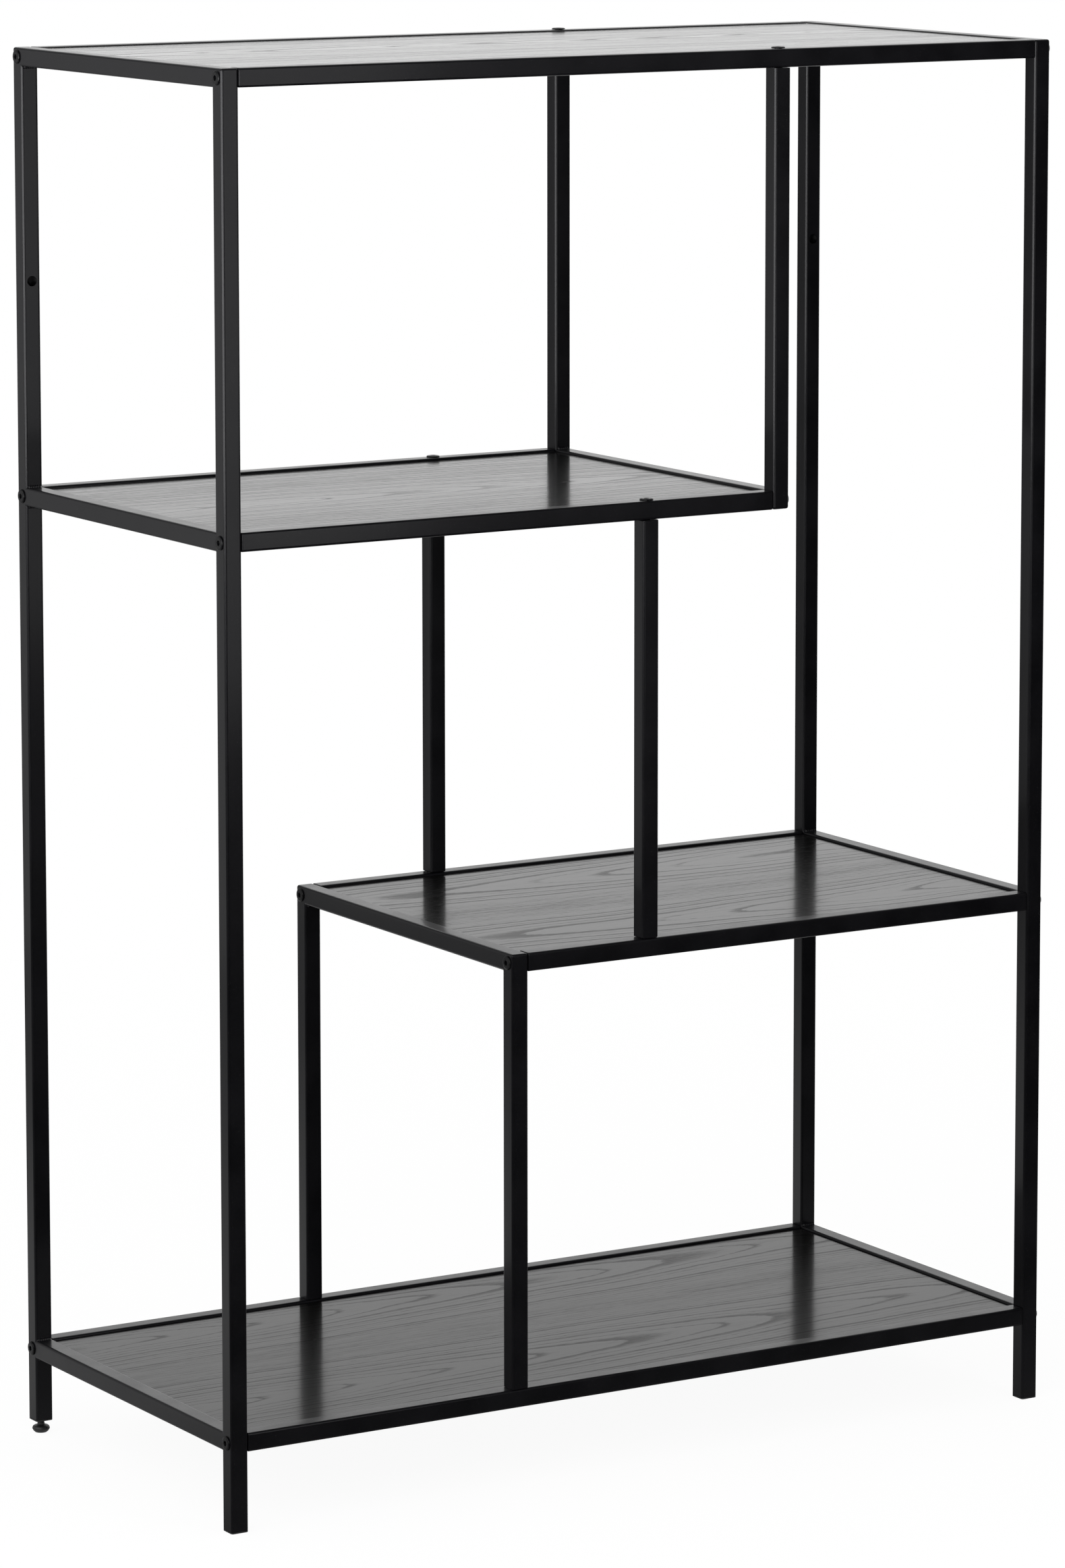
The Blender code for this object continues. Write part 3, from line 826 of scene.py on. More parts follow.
    def figure(self, board: NodeBoard) -> Socket:
        """Draw the arches of early wood, the plain grain between them and the pores.

        Args:
            board: The material's board.

        Returns:
            How dark and open the wood is, from 0 to 1.
        """
        from_row, distance = self.ring_distance(board)
        waver = board.times(self.noise(board, self.waver), self.waver_rings)
        fray = board.times(self.noise(board, self.fray), self.fray_rings)
        count = board.plus(board.plus(board.math("DIVIDE", distance, self.ring), waver), fray)
        ring = board.math("FRACT", count)
        width = self.chance(board, count, 0.0, self.early_widths)
        early = board.ramp(board.math("DIVIDE", ring, width), 0.0, self.early_end, 1.0, 0.0)
        onset = board.ramp(ring, 0.0, self.onset)
        depth = self.chance(board, count, self.depth_offset, self.ring_depths)
        arches = board.times(board.times(early, onset), depth)
        plain = board.ramp(from_row, *self.plain_edges)
        faded = board.times(arches, board.minus(1.0, board.times(plain, self.plain_fading)))
        fibre = self.swing(board, self.fibre, self.fibre_reach, self.fibre_detail)
        veil = board.plus(board.times(plain, self.plain_veil), fibre)
        dashes = board.ramp(self.noise(board, self.dashes), *self.dash_edges, 0.0, self.dash_depth)
        open_pores = board.times(dashes, board.plus(arches, self.dash_ground))
        dark = board.plus(board.plus(faded, veil), open_pores)
        return board.math("MINIMUM", board.math("MAXIMUM", dark, 0.0), 1.0)

    def material(self) -> Material:
        """Build the material.

        Returns:
            The stained and lacquered veneer.
        """
        board = FinishBoard(f"black_ash_{self.name}_finish")
        dark = self.figure(board)
        ripple = board.bump(self.noise(board, self.ripple, self.ripple_detail), self.ripple_relief)
        normal = board.bump(board.minus(1.0, dark), self.pore_relief, ripple)
        return board.shade({
            "Base Color": board.blend(dark, self.smooth, self.pores),
            "Roughness": board.ramp(dark, 0.0, 1.0, *self.roughness),
            "Specular IOR Level": self.mirror,
            "Coat Weight": board.ramp(dark, 0.0, 1.0, *self.lacquer),
            "Coat Roughness": self.lacquer_roughness,
            "Coat IOR": self.lacquer_index,
            "Normal": normal,
            "Coat Normal": normal,
        })


@dataclass(frozen=True)
class BlackBoltSteel:
    """Blackened steel of the connector bolts.

    Attributes:
        oxide: The colour of the black oxide.
        rubbed: Its colour where it is a little rubbed.
        rubbed_edges: The values of noise between which that comes out.
        mirror: The shader's specular level.
    """

    oxide: Point = (0.0025, 0.0025, 0.003)
    rubbed: Point = (0.008, 0.008, 0.008)
    rubbed_edges: Span = (0.45, 0.75)
    mirror: float = 0.16
    roughness: Span = (0.22, 0.38)
    clouds: Grain = Grain(420.0, 3.0)
    pits: Grain = Grain(3800.0)
    relief: Relief = Relief(0.00002, 0.4)

    def material(self) -> Material:
        """Build the material.

        Returns:
            Cloudy black oxide with fine pits.
        """
        board = FinishBoard("black_bolt_finish")
        cloud = board.noise(self.clouds)
        return board.shade({
            "Base Color": board.blend(board.ramp(cloud, *self.rubbed_edges), self.oxide, self.rubbed),
            "Roughness": board.ramp(cloud, *ALL_NOISE, *self.roughness),
            "Specular IOR Level": self.mirror,
            "Normal": board.bump(board.noise(self.pits), self.relief),
        })


@dataclass(frozen=True)
class ZincPlate:
    """Bright zinc plate of the panel screws."""

    bright: Point = (0.56, 0.57, 0.58)
    dull: Point = (0.38, 0.385, 0.39)
    metal: float = 1.0
    roughness: Span = (0.24, 0.40)
    clouds: Grain = Grain(650.0, 3.0)
    marks: Point = (500.0, 500.0, 4000.0)
    relief: Relief = Relief(0.00002, 0.35)

    def material(self) -> Material:
        """Build the material.

        Returns:
            Clouded zinc with drawn marks.
        """
        board = FinishBoard("zinc_plate_finish")
        cloud = board.noise(self.clouds)
        marks = board.noise(Grain(1.0), board.stretched(self.marks))
        return board.shade({
            "Base Color": board.blend(board.ramp(cloud, *MOST_NOISE), self.bright, self.dull),
            "Roughness": board.ramp(cloud, *ALL_NOISE, *self.roughness),
            "Metallic": self.metal,
            "Normal": board.bump(marks, self.relief),
        })


@dataclass(frozen=True)
class MouldedPlastic:
    """Black moulded plastic of the plugs, inserts and levelling feet.

    Attributes:
        body: Its colour.
        bloom: Its colour where it has a pale bloom.
        bloom_edges: The values of noise between which the bloom comes out.
    """

    body: Point = (0.0075, 0.0075, 0.0078)
    bloom: Point = (0.016, 0.016, 0.0165)
    bloom_edges: Span = (0.4, 0.7)
    roughness: Span = (0.38, 0.55)
    clouds: Grain = Grain(180.0, 3.0)
    texture: Grain = Grain(2900.0, 3.0)
    relief: Relief = Relief(0.00004, 0.5)

    def material(self) -> Material:
        """Build the material.

        Returns:
            Plastic with a fine spark-eroded texture.
        """
        board = FinishBoard("moulded_plastic_finish")
        bloom = board.ramp(board.noise(self.clouds), *self.bloom_edges)
        texture = board.noise(self.texture)
        return board.shade({
            "Base Color": board.blend(bloom, self.body, self.bloom),
            "Roughness": board.ramp(texture, *ALL_NOISE, *self.roughness),
            "Normal": board.bump(texture, self.relief),
        })


class Finishes:
    """The finishes that many pieces share, each built once."""

    def __init__(self) -> None:
        """Build the material of each slot but the shelves', which have one of their own each."""
        self.materials: dict[Slot, Material] = {
            Slot.POWDER_COAT: PowderCoat().material(),
            Slot.BLACK_BOLT: BlackBoltSteel().material(),
            Slot.ZINC_SCREW: ZincPlate().material(),
            Slot.BLACK_PLASTIC: MouldedPlastic().material(),
        }

    def declare(self, piece: Object, node: str, slot: Slot, own: Material | None = None) -> None:
        """Dress a piece and say what it stands for.

        Args:
            piece: The finished piece.
            node: The CAD node that it replaces, whose body it rides on.
            slot: The record's slot that its finish comes from.
            own: The piece's own material, if it doesn't share the slot's.
        """
        piece.name = node + "_finished"
        piece.data.name = piece.name
        piece.data.materials.clear()
        piece.data.materials.append(own or self.materials[slot])
        bodies = frame["record"]["behaviour"]["bodies"]
        body = next(name for name, members in bodies.items() if node in members)
        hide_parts(node)
        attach(piece, body)
        LOG.info("%s: %d faces on %s in %s", piece.name, len(piece.data.polygons), body, slot.value)


@dataclass
class Piece:
    """A piece that is made in its own place for one CAD node.

    Attributes:
        node: The CAD node it stands for.
        work: The object as far as it is made.
    """

    slot: ClassVar[Slot] = Slot.POWDER_COAT

    node: str
    work: Object = field(init=False)

    def make(self) -> None:
        """Make the object, in each kind of piece its own way."""
        raise NotImplementedError

    def own_material(self) -> Material | None:
        """The material that only this piece has, if there is one."""
        return None

    def build(self, finishes: Finishes) -> None:
        """Make the piece, polish it and dress it.

        Args:
            finishes: The finishes to dress it from.
        """
        self.make()
        Bench.polish(self.work)
        finishes.declare(self.work, self.node, self.slot, self.own_material())


@dataclass(frozen=True)
class Tab:
    """A steel tab under a panel, welded to a tube's inner face.

    Attributes:
        reach: How far it stands out from the tube.
        corner: The radius of its free corners.
        ease: The width of the bevel on its upper and lower edges.
        under_shelf: How far its top lies below the rails' tops.
    """

    thickness: float = 0.002
    width: float = 0.022
    reach: float = 0.018
    corner: float = 0.004
    corner_steps: int = 4
    ease: float = 0.0003
    under_shelf: float = 0.0123

    def screw_y(self, row: Row) -> float:
        """Where the screw through a long rail's tab stands."""
        return row.value * (PLAN.inner_y - self.reach / 2)

    def model(self, root: Sequence[float], direction: tuple[int, int], shelf_top: float) -> Object:
        """Make a tab with rounded free corners.

        Args:
            root: The middle of the tube's inner face, seen from above.
            direction: Where the tab points, as whole numbers along X and Y.
            shelf_top: The top of the shelf's rails.

        Returns:
            The tab, let a little way into the tube's wall.
        """
        forward = Vector(direction)
        side = Vector((abs(forward.y), abs(forward.x))) * self.width / 2
        start = Vector(root[:2]) - forward * PLAN.wall / 2
        end = Vector(root[:2]) + forward * self.reach
        corners = [start - side, start + side, end - side, end + side]
        top = shelf_top - self.under_shelf
        across, along = [corner.x for corner in corners], [corner.y for corner in corners]
        low = (min(across), min(along), top - self.thickness)
        high = (max(across), max(along), top)
        tab = Bench.block(low, high)

        def at_free_end(first: Vector, last: Vector) -> bool:
            """Whether an upright edge is at the tab's free end."""
            upright = abs(first.z - last.z) > self.thickness / 2
            return upright and (first.xy - end).dot(forward) > -SAME_PLACE

        Bench.round_edges(tab, self.corner, self.corner_steps, at_free_end)
        Bench.round_edges(tab, self.ease, 1, lambda first, last: abs(first.z - last.z) < SAME_PLACE)
        return tab


@dataclass(frozen=True)
class WeldBead:
    """A short rippled bead of weld in the inner corner between a post and a depth rail.

    Attributes:
        crest: Its radius at the crest of a ripple.
        valley: Its radius between two ripples.
        tip: Its radius near its ends.
        tip_share: The share of a ripple's length that each end takes up.
        steps: The number of steps round it.
    """

    length: float = 0.0120
    ripples: int = 6
    crest: float = 0.0021
    valley: float = 0.0016
    tip: float = 0.0009
    tip_share: float = 0.1
    steps: int = 14

    def model(self) -> Object:
        """Turn one bead, upright with its middle at the origin.

        Returns:
            The bead.
        """
        low = -self.length / 2
        step = self.length / self.ripples
        ease = step * self.tip_share
        profile = [(0.0, low), (self.tip, low + ease)]
        for ripple in range(self.ripples):
            profile.append((self.crest, low + step * (ripple + 0.5)))
            if ripple < self.ripples - 1:
                profile.append((self.valley, low + step * (ripple + 1)))
        profile += [(self.tip, -low - ease), (0.0, -low)]
        return Bench.turned(profile, self.steps)


@dataclass
class WeldedFrame(Piece):
    """A flat frame of welded square tube: two posts joined by depth rails.

    Attributes:
        left: The frame's left face.
        rails: The tops of its depth rails, lowest first.
        front_end: The height where the front post ends.
        back_end: The height where the back post ends.
        tab_side: The side its tabs point to.
        wall_hole: The height of the wall hole in the back post, if it has one.
        blocked: Whether its posts' ends hold threaded blocks.
        access_hole: The radius of the wall hole in the post's front face.
        screw_hole: The radius of the wall hole in the post's back face.
    """

    left: float
    rails: tuple[float, ...]
    front_end: float
    back_end: float
    tab_side: Side
    wall_hole: float | None = None
    blocked: bool = False
    access_hole: float = 0.00425
    screw_hole: float = 0.0025

    @property
    def middle(self) -> float:
        """The middle of its tubes along X."""
        return self.left + PLAN.half_tube

    @property
    def low_rail(self) -> float:
        """The underside of the lowest depth rail."""
        return self.rails[0] - PLAN.tube

    @property
    def top_rail(self) -> float:
        """The top of the highest depth rail."""
        return self.rails[-1]

    @property
    def points_up(self) -> bool:
        """Whether the posts rise from the depth rail."""
        return self.front_end > self.top_rail

    @property
    def post_ends(self) -> dict[Row, float]:
        """The height where each row's post ends."""
        return {Row.FRONT: self.front_end, Row.BACK: self.back_end}

    def add_plate(self) -> None:
        """Add a plate as thick as the tube, cut at the posts' inner faces and at the rails."""
        half_depth = PLAN.depth / 2
        low = (self.left, -half_depth, self.low_rail)
        self.work = Bench.block(low, (self.left + PLAN.tube, half_depth, self.top_rail))
        with Bench.editing(self.work, Pick.FACES):
            for row in Row:
                Bench.cut_across((self.left, row.value * PLAN.inner_y, self.low_rail), (0, 1, 0))
            for lower, upper in zip(self.rails, self.rails[1:]):
                for height in (lower, upper - PLAN.tube):
                    Bench.cut_across((self.left, 0, height), (0, 0, 1))

    def open_windows(self) -> None:
        """Open the plate between the rails by bridging its two faces."""
        for lower, upper in zip(self.rails, self.rails[1:]):
            with Bench.editing(self.work, Pick.FACES):
                Bench.pick_faces(
                    self.work,
                    lambda middle, normal: abs(normal.x) > SQUARELY
                    and abs(middle.y) < PLAN.inner_y
                    and lower < middle.z < upper - PLAN.tube,
                )
                bpy.ops.mesh.bridge_edge_loops()

    def draw_posts(self) -> None:
        """Extrude the posts from the plate's upper or lower end to where they end."""
        near = self.top_rail if self.points_up else self.low_rail
        outward = 1 if self.points_up else -1
        with Bench.editing(self.work, Pick.FACES):
            for row, end in self.post_ends.items():
                Bench.pull_faces(
                    self.work,
                    lambda middle, normal: normal.z * outward > SQUARELY
                    and row.value * middle.y > PLAN.inner_y
                    and abs(middle.z - near) < SAME_PLACE,
                    (0, 0, end - near),
                )

    def round_corners(self) -> None:
        """Round the tube's edges and fill the welded corners, but leave the posts' ends square."""

        def is_edge(first: Vector, last: Vector) -> bool:
            """Whether an edge isn't at a post's end."""
            ends = self.post_ends.values()
            return not any(abs(first.z - end) + abs(last.z - end) < SAME_PLACE for end in ends)

        with Bench.editing(self.work, Pick.FACES):
            bpy.ops.mesh.select_all(action="SELECT")
            bpy.ops.mesh.dissolve_limited(angle_limit=FLAT_ANGLE)
        Bench.round_edges(self.work, PLAN.edge_radius, PLAN.edge_steps, is_edge)

    def lay_beads(self) -> None:
        """Lay a bead of weld in each inner corner, where a rail's face meets the posts."""
        heights = [*self.rails]
        if not self.points_up:
            heights = [rail - PLAN.tube for rail in self.rails] + heights[:-1]
        model = WeldBead().model()
        lie_down = Matrix.Rotation(math.pi / 2, 4, "Y")
        beads = []
        for height in heights:
            for row in Row:
                place = Matrix.Translation((self.middle, row.value * PLAN.inner_y, height))
                beads.append(Bench.copy_of(model, place @ lie_down))
        Bench.discard(model)
        Bench.combine(self.work, Change.WELD, beads)

    def hollow(self) -> None:
        """Cut the posts' cavities, from their open ends or between their blocks."""
        reach = PLAN.half_tube - PLAN.wall
        far = self.low_rail + PLAN.wall if self.points_up else self.top_rail - PLAN.wall
        inward = -1 if self.points_up else 1
        cavities = []
        for row, end in self.post_ends.items():
            near = end + inward * (PLAN.end_block if self.blocked else -OVERRUN)
            y = PLAN.row_y(row)
            low = (self.middle - reach, y - reach, min(near, far))
            cavities.append(Bench.block(low, (self.middle + reach, y + reach, max(near, far))))
        Bench.combine(self.work, Change.CUT, cavities)

    def weld_tabs(self) -> None:
        """Weld a tab under each panel's end to the depth rails."""
        side = self.tab_side.value
        inner = self.middle + side * PLAN.half_tube
        tabs = [Tab().model((inner, 0.0), (side, 0), rail) for rail in self.rails]
        Bench.combine(self.work, Change.WELD, tabs)

    def drill(self) -> None:
        """Drill the bolt holes through the posts, the threaded holes in their ends and the wall hole."""
        x = self.middle
        through = PLAN.half_tube + OVERRUN
        reach = PLAN.end_block + OVERRUN
        bars = []
        for row, end in self.post_ends.items():
            y = PLAN.row_y(row)
            for rail in self.rails:
                z = rail - PLAN.half_tube
                bars.append(Bench.rod((x - through, y, z), (x + through, y, z), PLAN.bolt_hole))
            if self.blocked:
                bars.append(Bench.rod((x, y, end - reach), (x, y, end + reach), PLAN.bolt_hole))
        if self.wall_hole:
            y, z = PLAN.row_y(Row.BACK), self.wall_hole
            half_way = PLAN.half_tube / 2
            bars.append(Bench.rod((x, y - through, z), (x, y - half_way, z), self.access_hole))
            bars.append(Bench.rod((x, y + half_way, z), (x, y + through, z), self.screw_hole))
        Bench.combine(self.work, Change.CUT, bars)

    def make(self) -> None:
        """Make the frame's plate and posts, weld what they hold and drill them."""
        self.add_plate()
        self.open_windows()
        self.draw_posts()
        self.round_corners()
        self.lay_beads()
        self.hollow()
        self.weld_tabs()
        self.drill()


@dataclass
class StraightTube(Piece):
    """A straight square tube with a threaded block in each end: a long rail or a strut.

    Attributes:
        axis: The way it runs.
        start: Where it starts along its axis.
        end: Where it ends along its axis.
        middle: The middle of its section, with zero along its axis.
        row: The row it is in.
        shelf_top: The top of its shelf, for a rail with a tab.
        crossing: The place of the upright bolt through it, if there is one.
        sunk: Whether that bolt's head sits inside it, reached from below.
        end_ease: The width of the bevel round its ends.
        access_hole: The radius of the hole that a sunk head is reached through.
        screw_hole: The radius of the hole through its tab.
    """

    axis: Axis
    start: float
    end: float
    middle: Point
    row: Row
    shelf_top: float | None = None
    crossing: float | None = None
    sunk: bool = False
    end_ease: float = 0.0008
    end_steps: int = 3
    access_hole: float = 0.0053
    screw_hole: float = 0.00205

    def at(self, along: float, across: float = 0.0) -> Vector:
        """A point along the tube, moved by the same amount in both directions across it.

        Args:
            along: Its place along the tube's axis.
            across: How far it is moved both ways across it.

        Returns:
            The point.
        """
        place = Vector(self.middle) + Vector((across, across, across))
        place[self.axis.value] = along
        return place

    def add_bar(self) -> None:
        """Add the bar, round its long edges and ease its ends."""
        half = PLAN.half_tube
        self.work = Bench.block(self.at(self.start, -half), self.at(self.end, half))
        axis = self.axis.value

        def runs_along(first: Vector, last: Vector) -> bool:
            """Whether an edge is one of the long ones."""
            return abs(first[axis] - last[axis]) > (self.end - self.start) / 2

        def is_across(first: Vector, last: Vector) -> bool:
            """Whether an edge is round one of the ends."""
            return abs(first[axis] - last[axis]) < SAME_PLACE

        Bench.round_edges(self.work, PLAN.edge_radius, PLAN.edge_steps, runs_along)
        Bench.round_edges(self.work, self.end_ease, self.end_steps, is_across)

    def weld_tab(self) -> None:
        """Weld the panel's tab to the rail's inner face."""
        inward = -self.row.value
        root = ((self.start + self.end) / 2, self.middle[1] + inward * PLAN.half_tube)
        Bench.combine(self.work, Change.WELD, [Tab().model(root, (0, inward), self.shelf_top)])

    def drill(self) -> None:
        """Drill the ends, the upright bolt's hole and the tab's screw hole."""
        block, through = PLAN.end_block, PLAN.half_tube + OVERRUN
        x, y, z = self.crossing, *self.middle[1:]
        bars = [
            Bench.rod(self.at(self.start - OVERRUN), self.at(self.start + block), PLAN.bolt_hole),
            Bench.rod(self.at(self.end - block), self.at(self.end + OVERRUN), PLAN.bolt_hole),
        ]
        if x is not None:
            bars.append(Bench.rod((x, y, z - through), (x, y, z + through), PLAN.bolt_hole))
        if self.shelf_top:
            tab = Tab()
            middle = ((self.start + self.end) / 2, tab.screw_y(self.row))
            top = self.shelf_top - tab.under_shelf
            low, high = (*middle, top - tab.thickness - OVERRUN), (*middle, top + OVERRUN)
            bars.append(Bench.rod(low, high, self.screw_hole))
        Bench.combine(self.work, Change.CUT, bars)
        if self.sunk:
            inside = z + PLAN.half_tube - PLAN.wall
            access = Bench.rod((x, y, z - through), (x, y, inside), self.access_hole)
            Bench.combine(self.work, Change.CUT, [access])

    def make(self) -> None:
        """Make the bar, weld its tab and drill it."""
        self.add_bar()
        if self.shelf_top:
            self.weld_tab()
        self.drill()


@dataclass
class ShelfPanel(Piece):
    """An inset shelf panel with eased edges and two blind screw holes underneath.

    Attributes:
        start: The inner face of the frame at its left.
        end: The inner face of the frame at its right.
        shelf_top: The top of the rails round it.
        veneer: Its leaf of veneer.
        recess: How far its top lies below the rails' tops.
        clearance: The gap round it.
        underside: How far its underside lies below the rails' tops.
        ease: The width of the bevel on its edges.
        screw_hole: The radius of the screws' pilot holes.
        screw_depth: The depth of the pilot holes.
    """

    slot: ClassVar[Slot] = Slot.BLACK_ASH

    start: float
    end: float
    shelf_top: float
    veneer: BlackAsh
    recess: float
    clearance: float = 0.001
    underside: float = 0.012
    ease: float = 0.0006
    ease_steps: int = 2
    screw_hole: float = 0.00205
    screw_depth: float = 0.0063

    def make(self) -> None:
        """Make the board, ease its edges and drill the screws' pilot holes."""
        reach = PLAN.inner_y - self.clearance
        under = self.shelf_top - self.underside
        low = (self.start + self.clearance, -reach, under)
        self.work = Bench.block(low, (self.end - self.clearance, reach, self.shelf_top - self.recess))
        Bench.round_edges(self.work, self.ease, self.ease_steps, lambda first, last: True)
        pilots = []
        for row in Row:
            middle = ((self.start + self.end) / 2, Tab().screw_y(row))
            low, high = (*middle, under - OVERRUN), (*middle, under + self.screw_depth)
            pilots.append(Bench.rod(low, high, self.screw_hole))
        Bench.combine(self.work, Change.CUT, pilots)

    def own_material(self) -> Material:
        """The material of the panel's own leaf of veneer."""
        return self.veneer.material()


@dataclass
class TubePlug(Piece):
    """A square plastic plug for a tube's end: a flange below and a shank inside the tube.

    Attributes:
        x: The middle of the post.
        row: The post's row.
        low: The height of the flange's underside.
        threaded: Whether it has a threaded hole for a foot in place of a pocket.
        corner: The radius of the flange's corners.
        ease: The width of the bevel round its underside.
        shank_height: How far the shank rises from the flange.
        pocket_wall: The thickness of the wall round the pocket.
        thread_hole: The radius of the threaded hole.
    """

    slot: ClassVar[Slot] = Slot.BLACK_PLASTIC

    x: float
    row: Row
    low: float = 0.0
    threaded: bool = False
    corner: float = 0.0020
    corner_steps: int = 4
    ease: float = 0.0002
    shank_height: float = 0.012
    pocket_wall: float = 0.0015
    thread_hole: float = 0.0033

    def make(self) -> None:
        """Make the flange, draw the shank and its pocket from it, and thread an insert."""
        y = PLAN.row_y(self.row)
        half = PLAN.half_tube
        top = self.low + PLAN.flange
        self.work = Bench.block((self.x - half, y - half, self.low), (self.x + half, y + half, top))

        def faces_up(middle: Vector, normal: Vector) -> bool:
            """Whether a face is the middle one of the upper side."""
            centred = (middle.xy - Vector((self.x, y))).length < SAME_PLACE
            return normal.z > SQUARELY and centred

        with Bench.editing(self.work, Pick.FACES):
            Bench.pick_faces(self.work, faces_up)
            bpy.ops.mesh.inset(thickness=PLAN.wall + PLAN.gap)
            Bench.pull_faces(self.work, faces_up, (0, 0, self.shank_height))
            if not self.threaded:
                Bench.pick_faces(self.work, faces_up)
                bpy.ops.mesh.inset(thickness=self.pocket_wall)
                Bench.pull_faces(self.work, faces_up, (0, 0, -self.shank_height))

        def is_corner(first: Vector, last: Vector) -> bool:
            """Whether an edge is an upright corner of the flange."""
            upright = abs(first.z - last.z) > PLAN.flange / 2
            return upright and min(abs(first.x - self.x), abs(first.y - y)) > half - SAME_PLACE

        def is_rim(first: Vector, last: Vector) -> bool:
            """Whether an edge is round the flange's underside."""
            return abs(first.z - self.low) + abs(last.z - self.low) < SAME_PLACE

        Bench.round_edges(self.work, self.corner, self.corner_steps, is_corner)
        Bench.round_edges(self.work, self.ease, 1, is_rim)
        if self.threaded:
            start = (self.x, y, self.low - OVERRUN)
            end = (self.x, y, top + self.shank_height + OVERRUN)
            Bench.combine(self.work, Change.CUT, [Bench.rod(start, end, self.thread_hole)])


@dataclass
class Fitting:
    """A turned fitting that is modelled once, head up with its seat at zero, and copied.

    Attributes:
        model: The fitting's model.
    """

    slot: ClassVar[Slot]
    steps: ClassVar[int]
    seat_gap: ClassVar[float] = PLAN.gap

    model: Object = field(init=False)

    def profile(self) -> list[Span]:
        """Draw the half section from one end of the axis to the other, for each fitting its own."""
        raise NotImplementedError

    def sink_recess(self) -> None:
        """Sink what a tool fits in; a plain fitting has nothing."""

    def make_model(self) -> None:
        """Turn the model, sink its recess and polish it."""
        self.model = Bench.turned(self.profile(), self.steps)
        self.sink_recess()
        Bench.polish(self.model)

    def place(
        self, node: str, seat: Point, finishes: Finishes, facing: Facing = Facing.UP, spin: float = 0.0
    ) -> None:
        """Place one fitting, with a seat gap under its head.

        Args:
            node: The CAD node it stands for.
            seat: The middle of its seat.
            finishes: The finishes to dress it from.
            facing: Where its head points.
            spin: Its turn about its own axis, in degrees.
        """
        turn = facing.matrix()
        lift = turn @ Vector((0, 0, self.seat_gap))
        turn = turn @ Matrix.Rotation(math.radians(spin), 4, "Z")
        copy = Bench.copy_of(self.model, Matrix.Translation(Vector(seat) + lift) @ turn)
        finishes.declare(copy, node, self.slot)


def dome(face: float, rim: float, rim_height: float, height: float, steps: int) -> list[Span]:
    """Draw the quarter round of a low domed head.

    Args:
        face: The radius of its flat face.
        rim: The radius of its rim.
        rim_height: The height of the rim's upper edge.
        height: The height of the face.
        steps: The number of steps in the round.

    Returns:
        The points from the face down to the rim, as (radius, height).
    """
    points = []
    for step in range(steps + 1):
        angle = math.pi / 2 * step / steps
        radius = face + (rim - face) * math.sin(angle)
        points.append((radius, rim_height + (height - rim_height) * math.cos(angle)))
    return points


@dataclass
class ConnectorBolt(Fitting):
    """A low domed bolt with a hexagon socket.

    Attributes:
        shank: The radius of the shank.
        rim: The radius of the head.
        rim_ease: The width of the bevel on the rim's lower edge.
        face: The radius of the flat face on the dome.
        height: The height of the head.
        rim_height: The height at which the dome begins.
        length: The length of the shank under the head.
        chamfer: The chamfer at the shank's end.
        flats: How far apart the socket's flats are.
        socket_ease: The width of the bevel at the socket's mouth.
    """

    slot: ClassVar[Slot] = Slot.BLACK_BOLT
    steps: ClassVar[int] = 40

    shank: float = 0.003
    rim: float = 0.0056
    rim_ease: float = 0.0001
    face: float = 0.0037
    height: float = 0.0012
    rim_height: float = 0.0004
    dome_steps: int = 6
    length: float = 0.0293
    chamfer: float = 0.0006
    flats: float = 0.004
    socket_sides: int = 6
    socket_depth: float = 0.0020
    socket_ease: float = 0.00015
    socket_steps: int = 2

    def profile(self) -> list[Span]:
        """Draw the domed head, its seat and the shank.

        Returns:
            The section's points.
        """
        return [
            (0.0, self.height),
            *dome(self.face, self.rim, self.rim_height, self.height, self.dome_steps),
            (self.rim, self.rim_ease),
            (self.rim - self.rim_ease, 0.0),
            (self.shank, 0.0),
            (self.shank, self.chamfer - self.length),
            (self.shank - self.chamfer, -self.length),
            (0.0, -self.length),
        ]

    def sink_recess(self) -> None:
        """Sink the hexagon socket and break its edge."""
        corner = self.flats / 2 / math.cos(math.pi / self.socket_sides)
        low, high = (0, 0, self.height - self.socket_depth), (0, 0, self.height + OVERRUN)
        Bench.combine(self.model, Change.CUT, [Bench.rod(low, high, corner, self.socket_sides)])

        def at_mouth(first: Vector, last: Vector) -> bool:
            """Whether an edge is at the socket's mouth."""
            level = abs(first.z - self.height) + abs(last.z - self.height) < SAME_PLACE
            return level and max(first.xy.length, last.xy.length) < corner + SAME_PLACE

        Bench.round_edges(self.model, self.socket_ease, self.socket_steps, at_mouth)


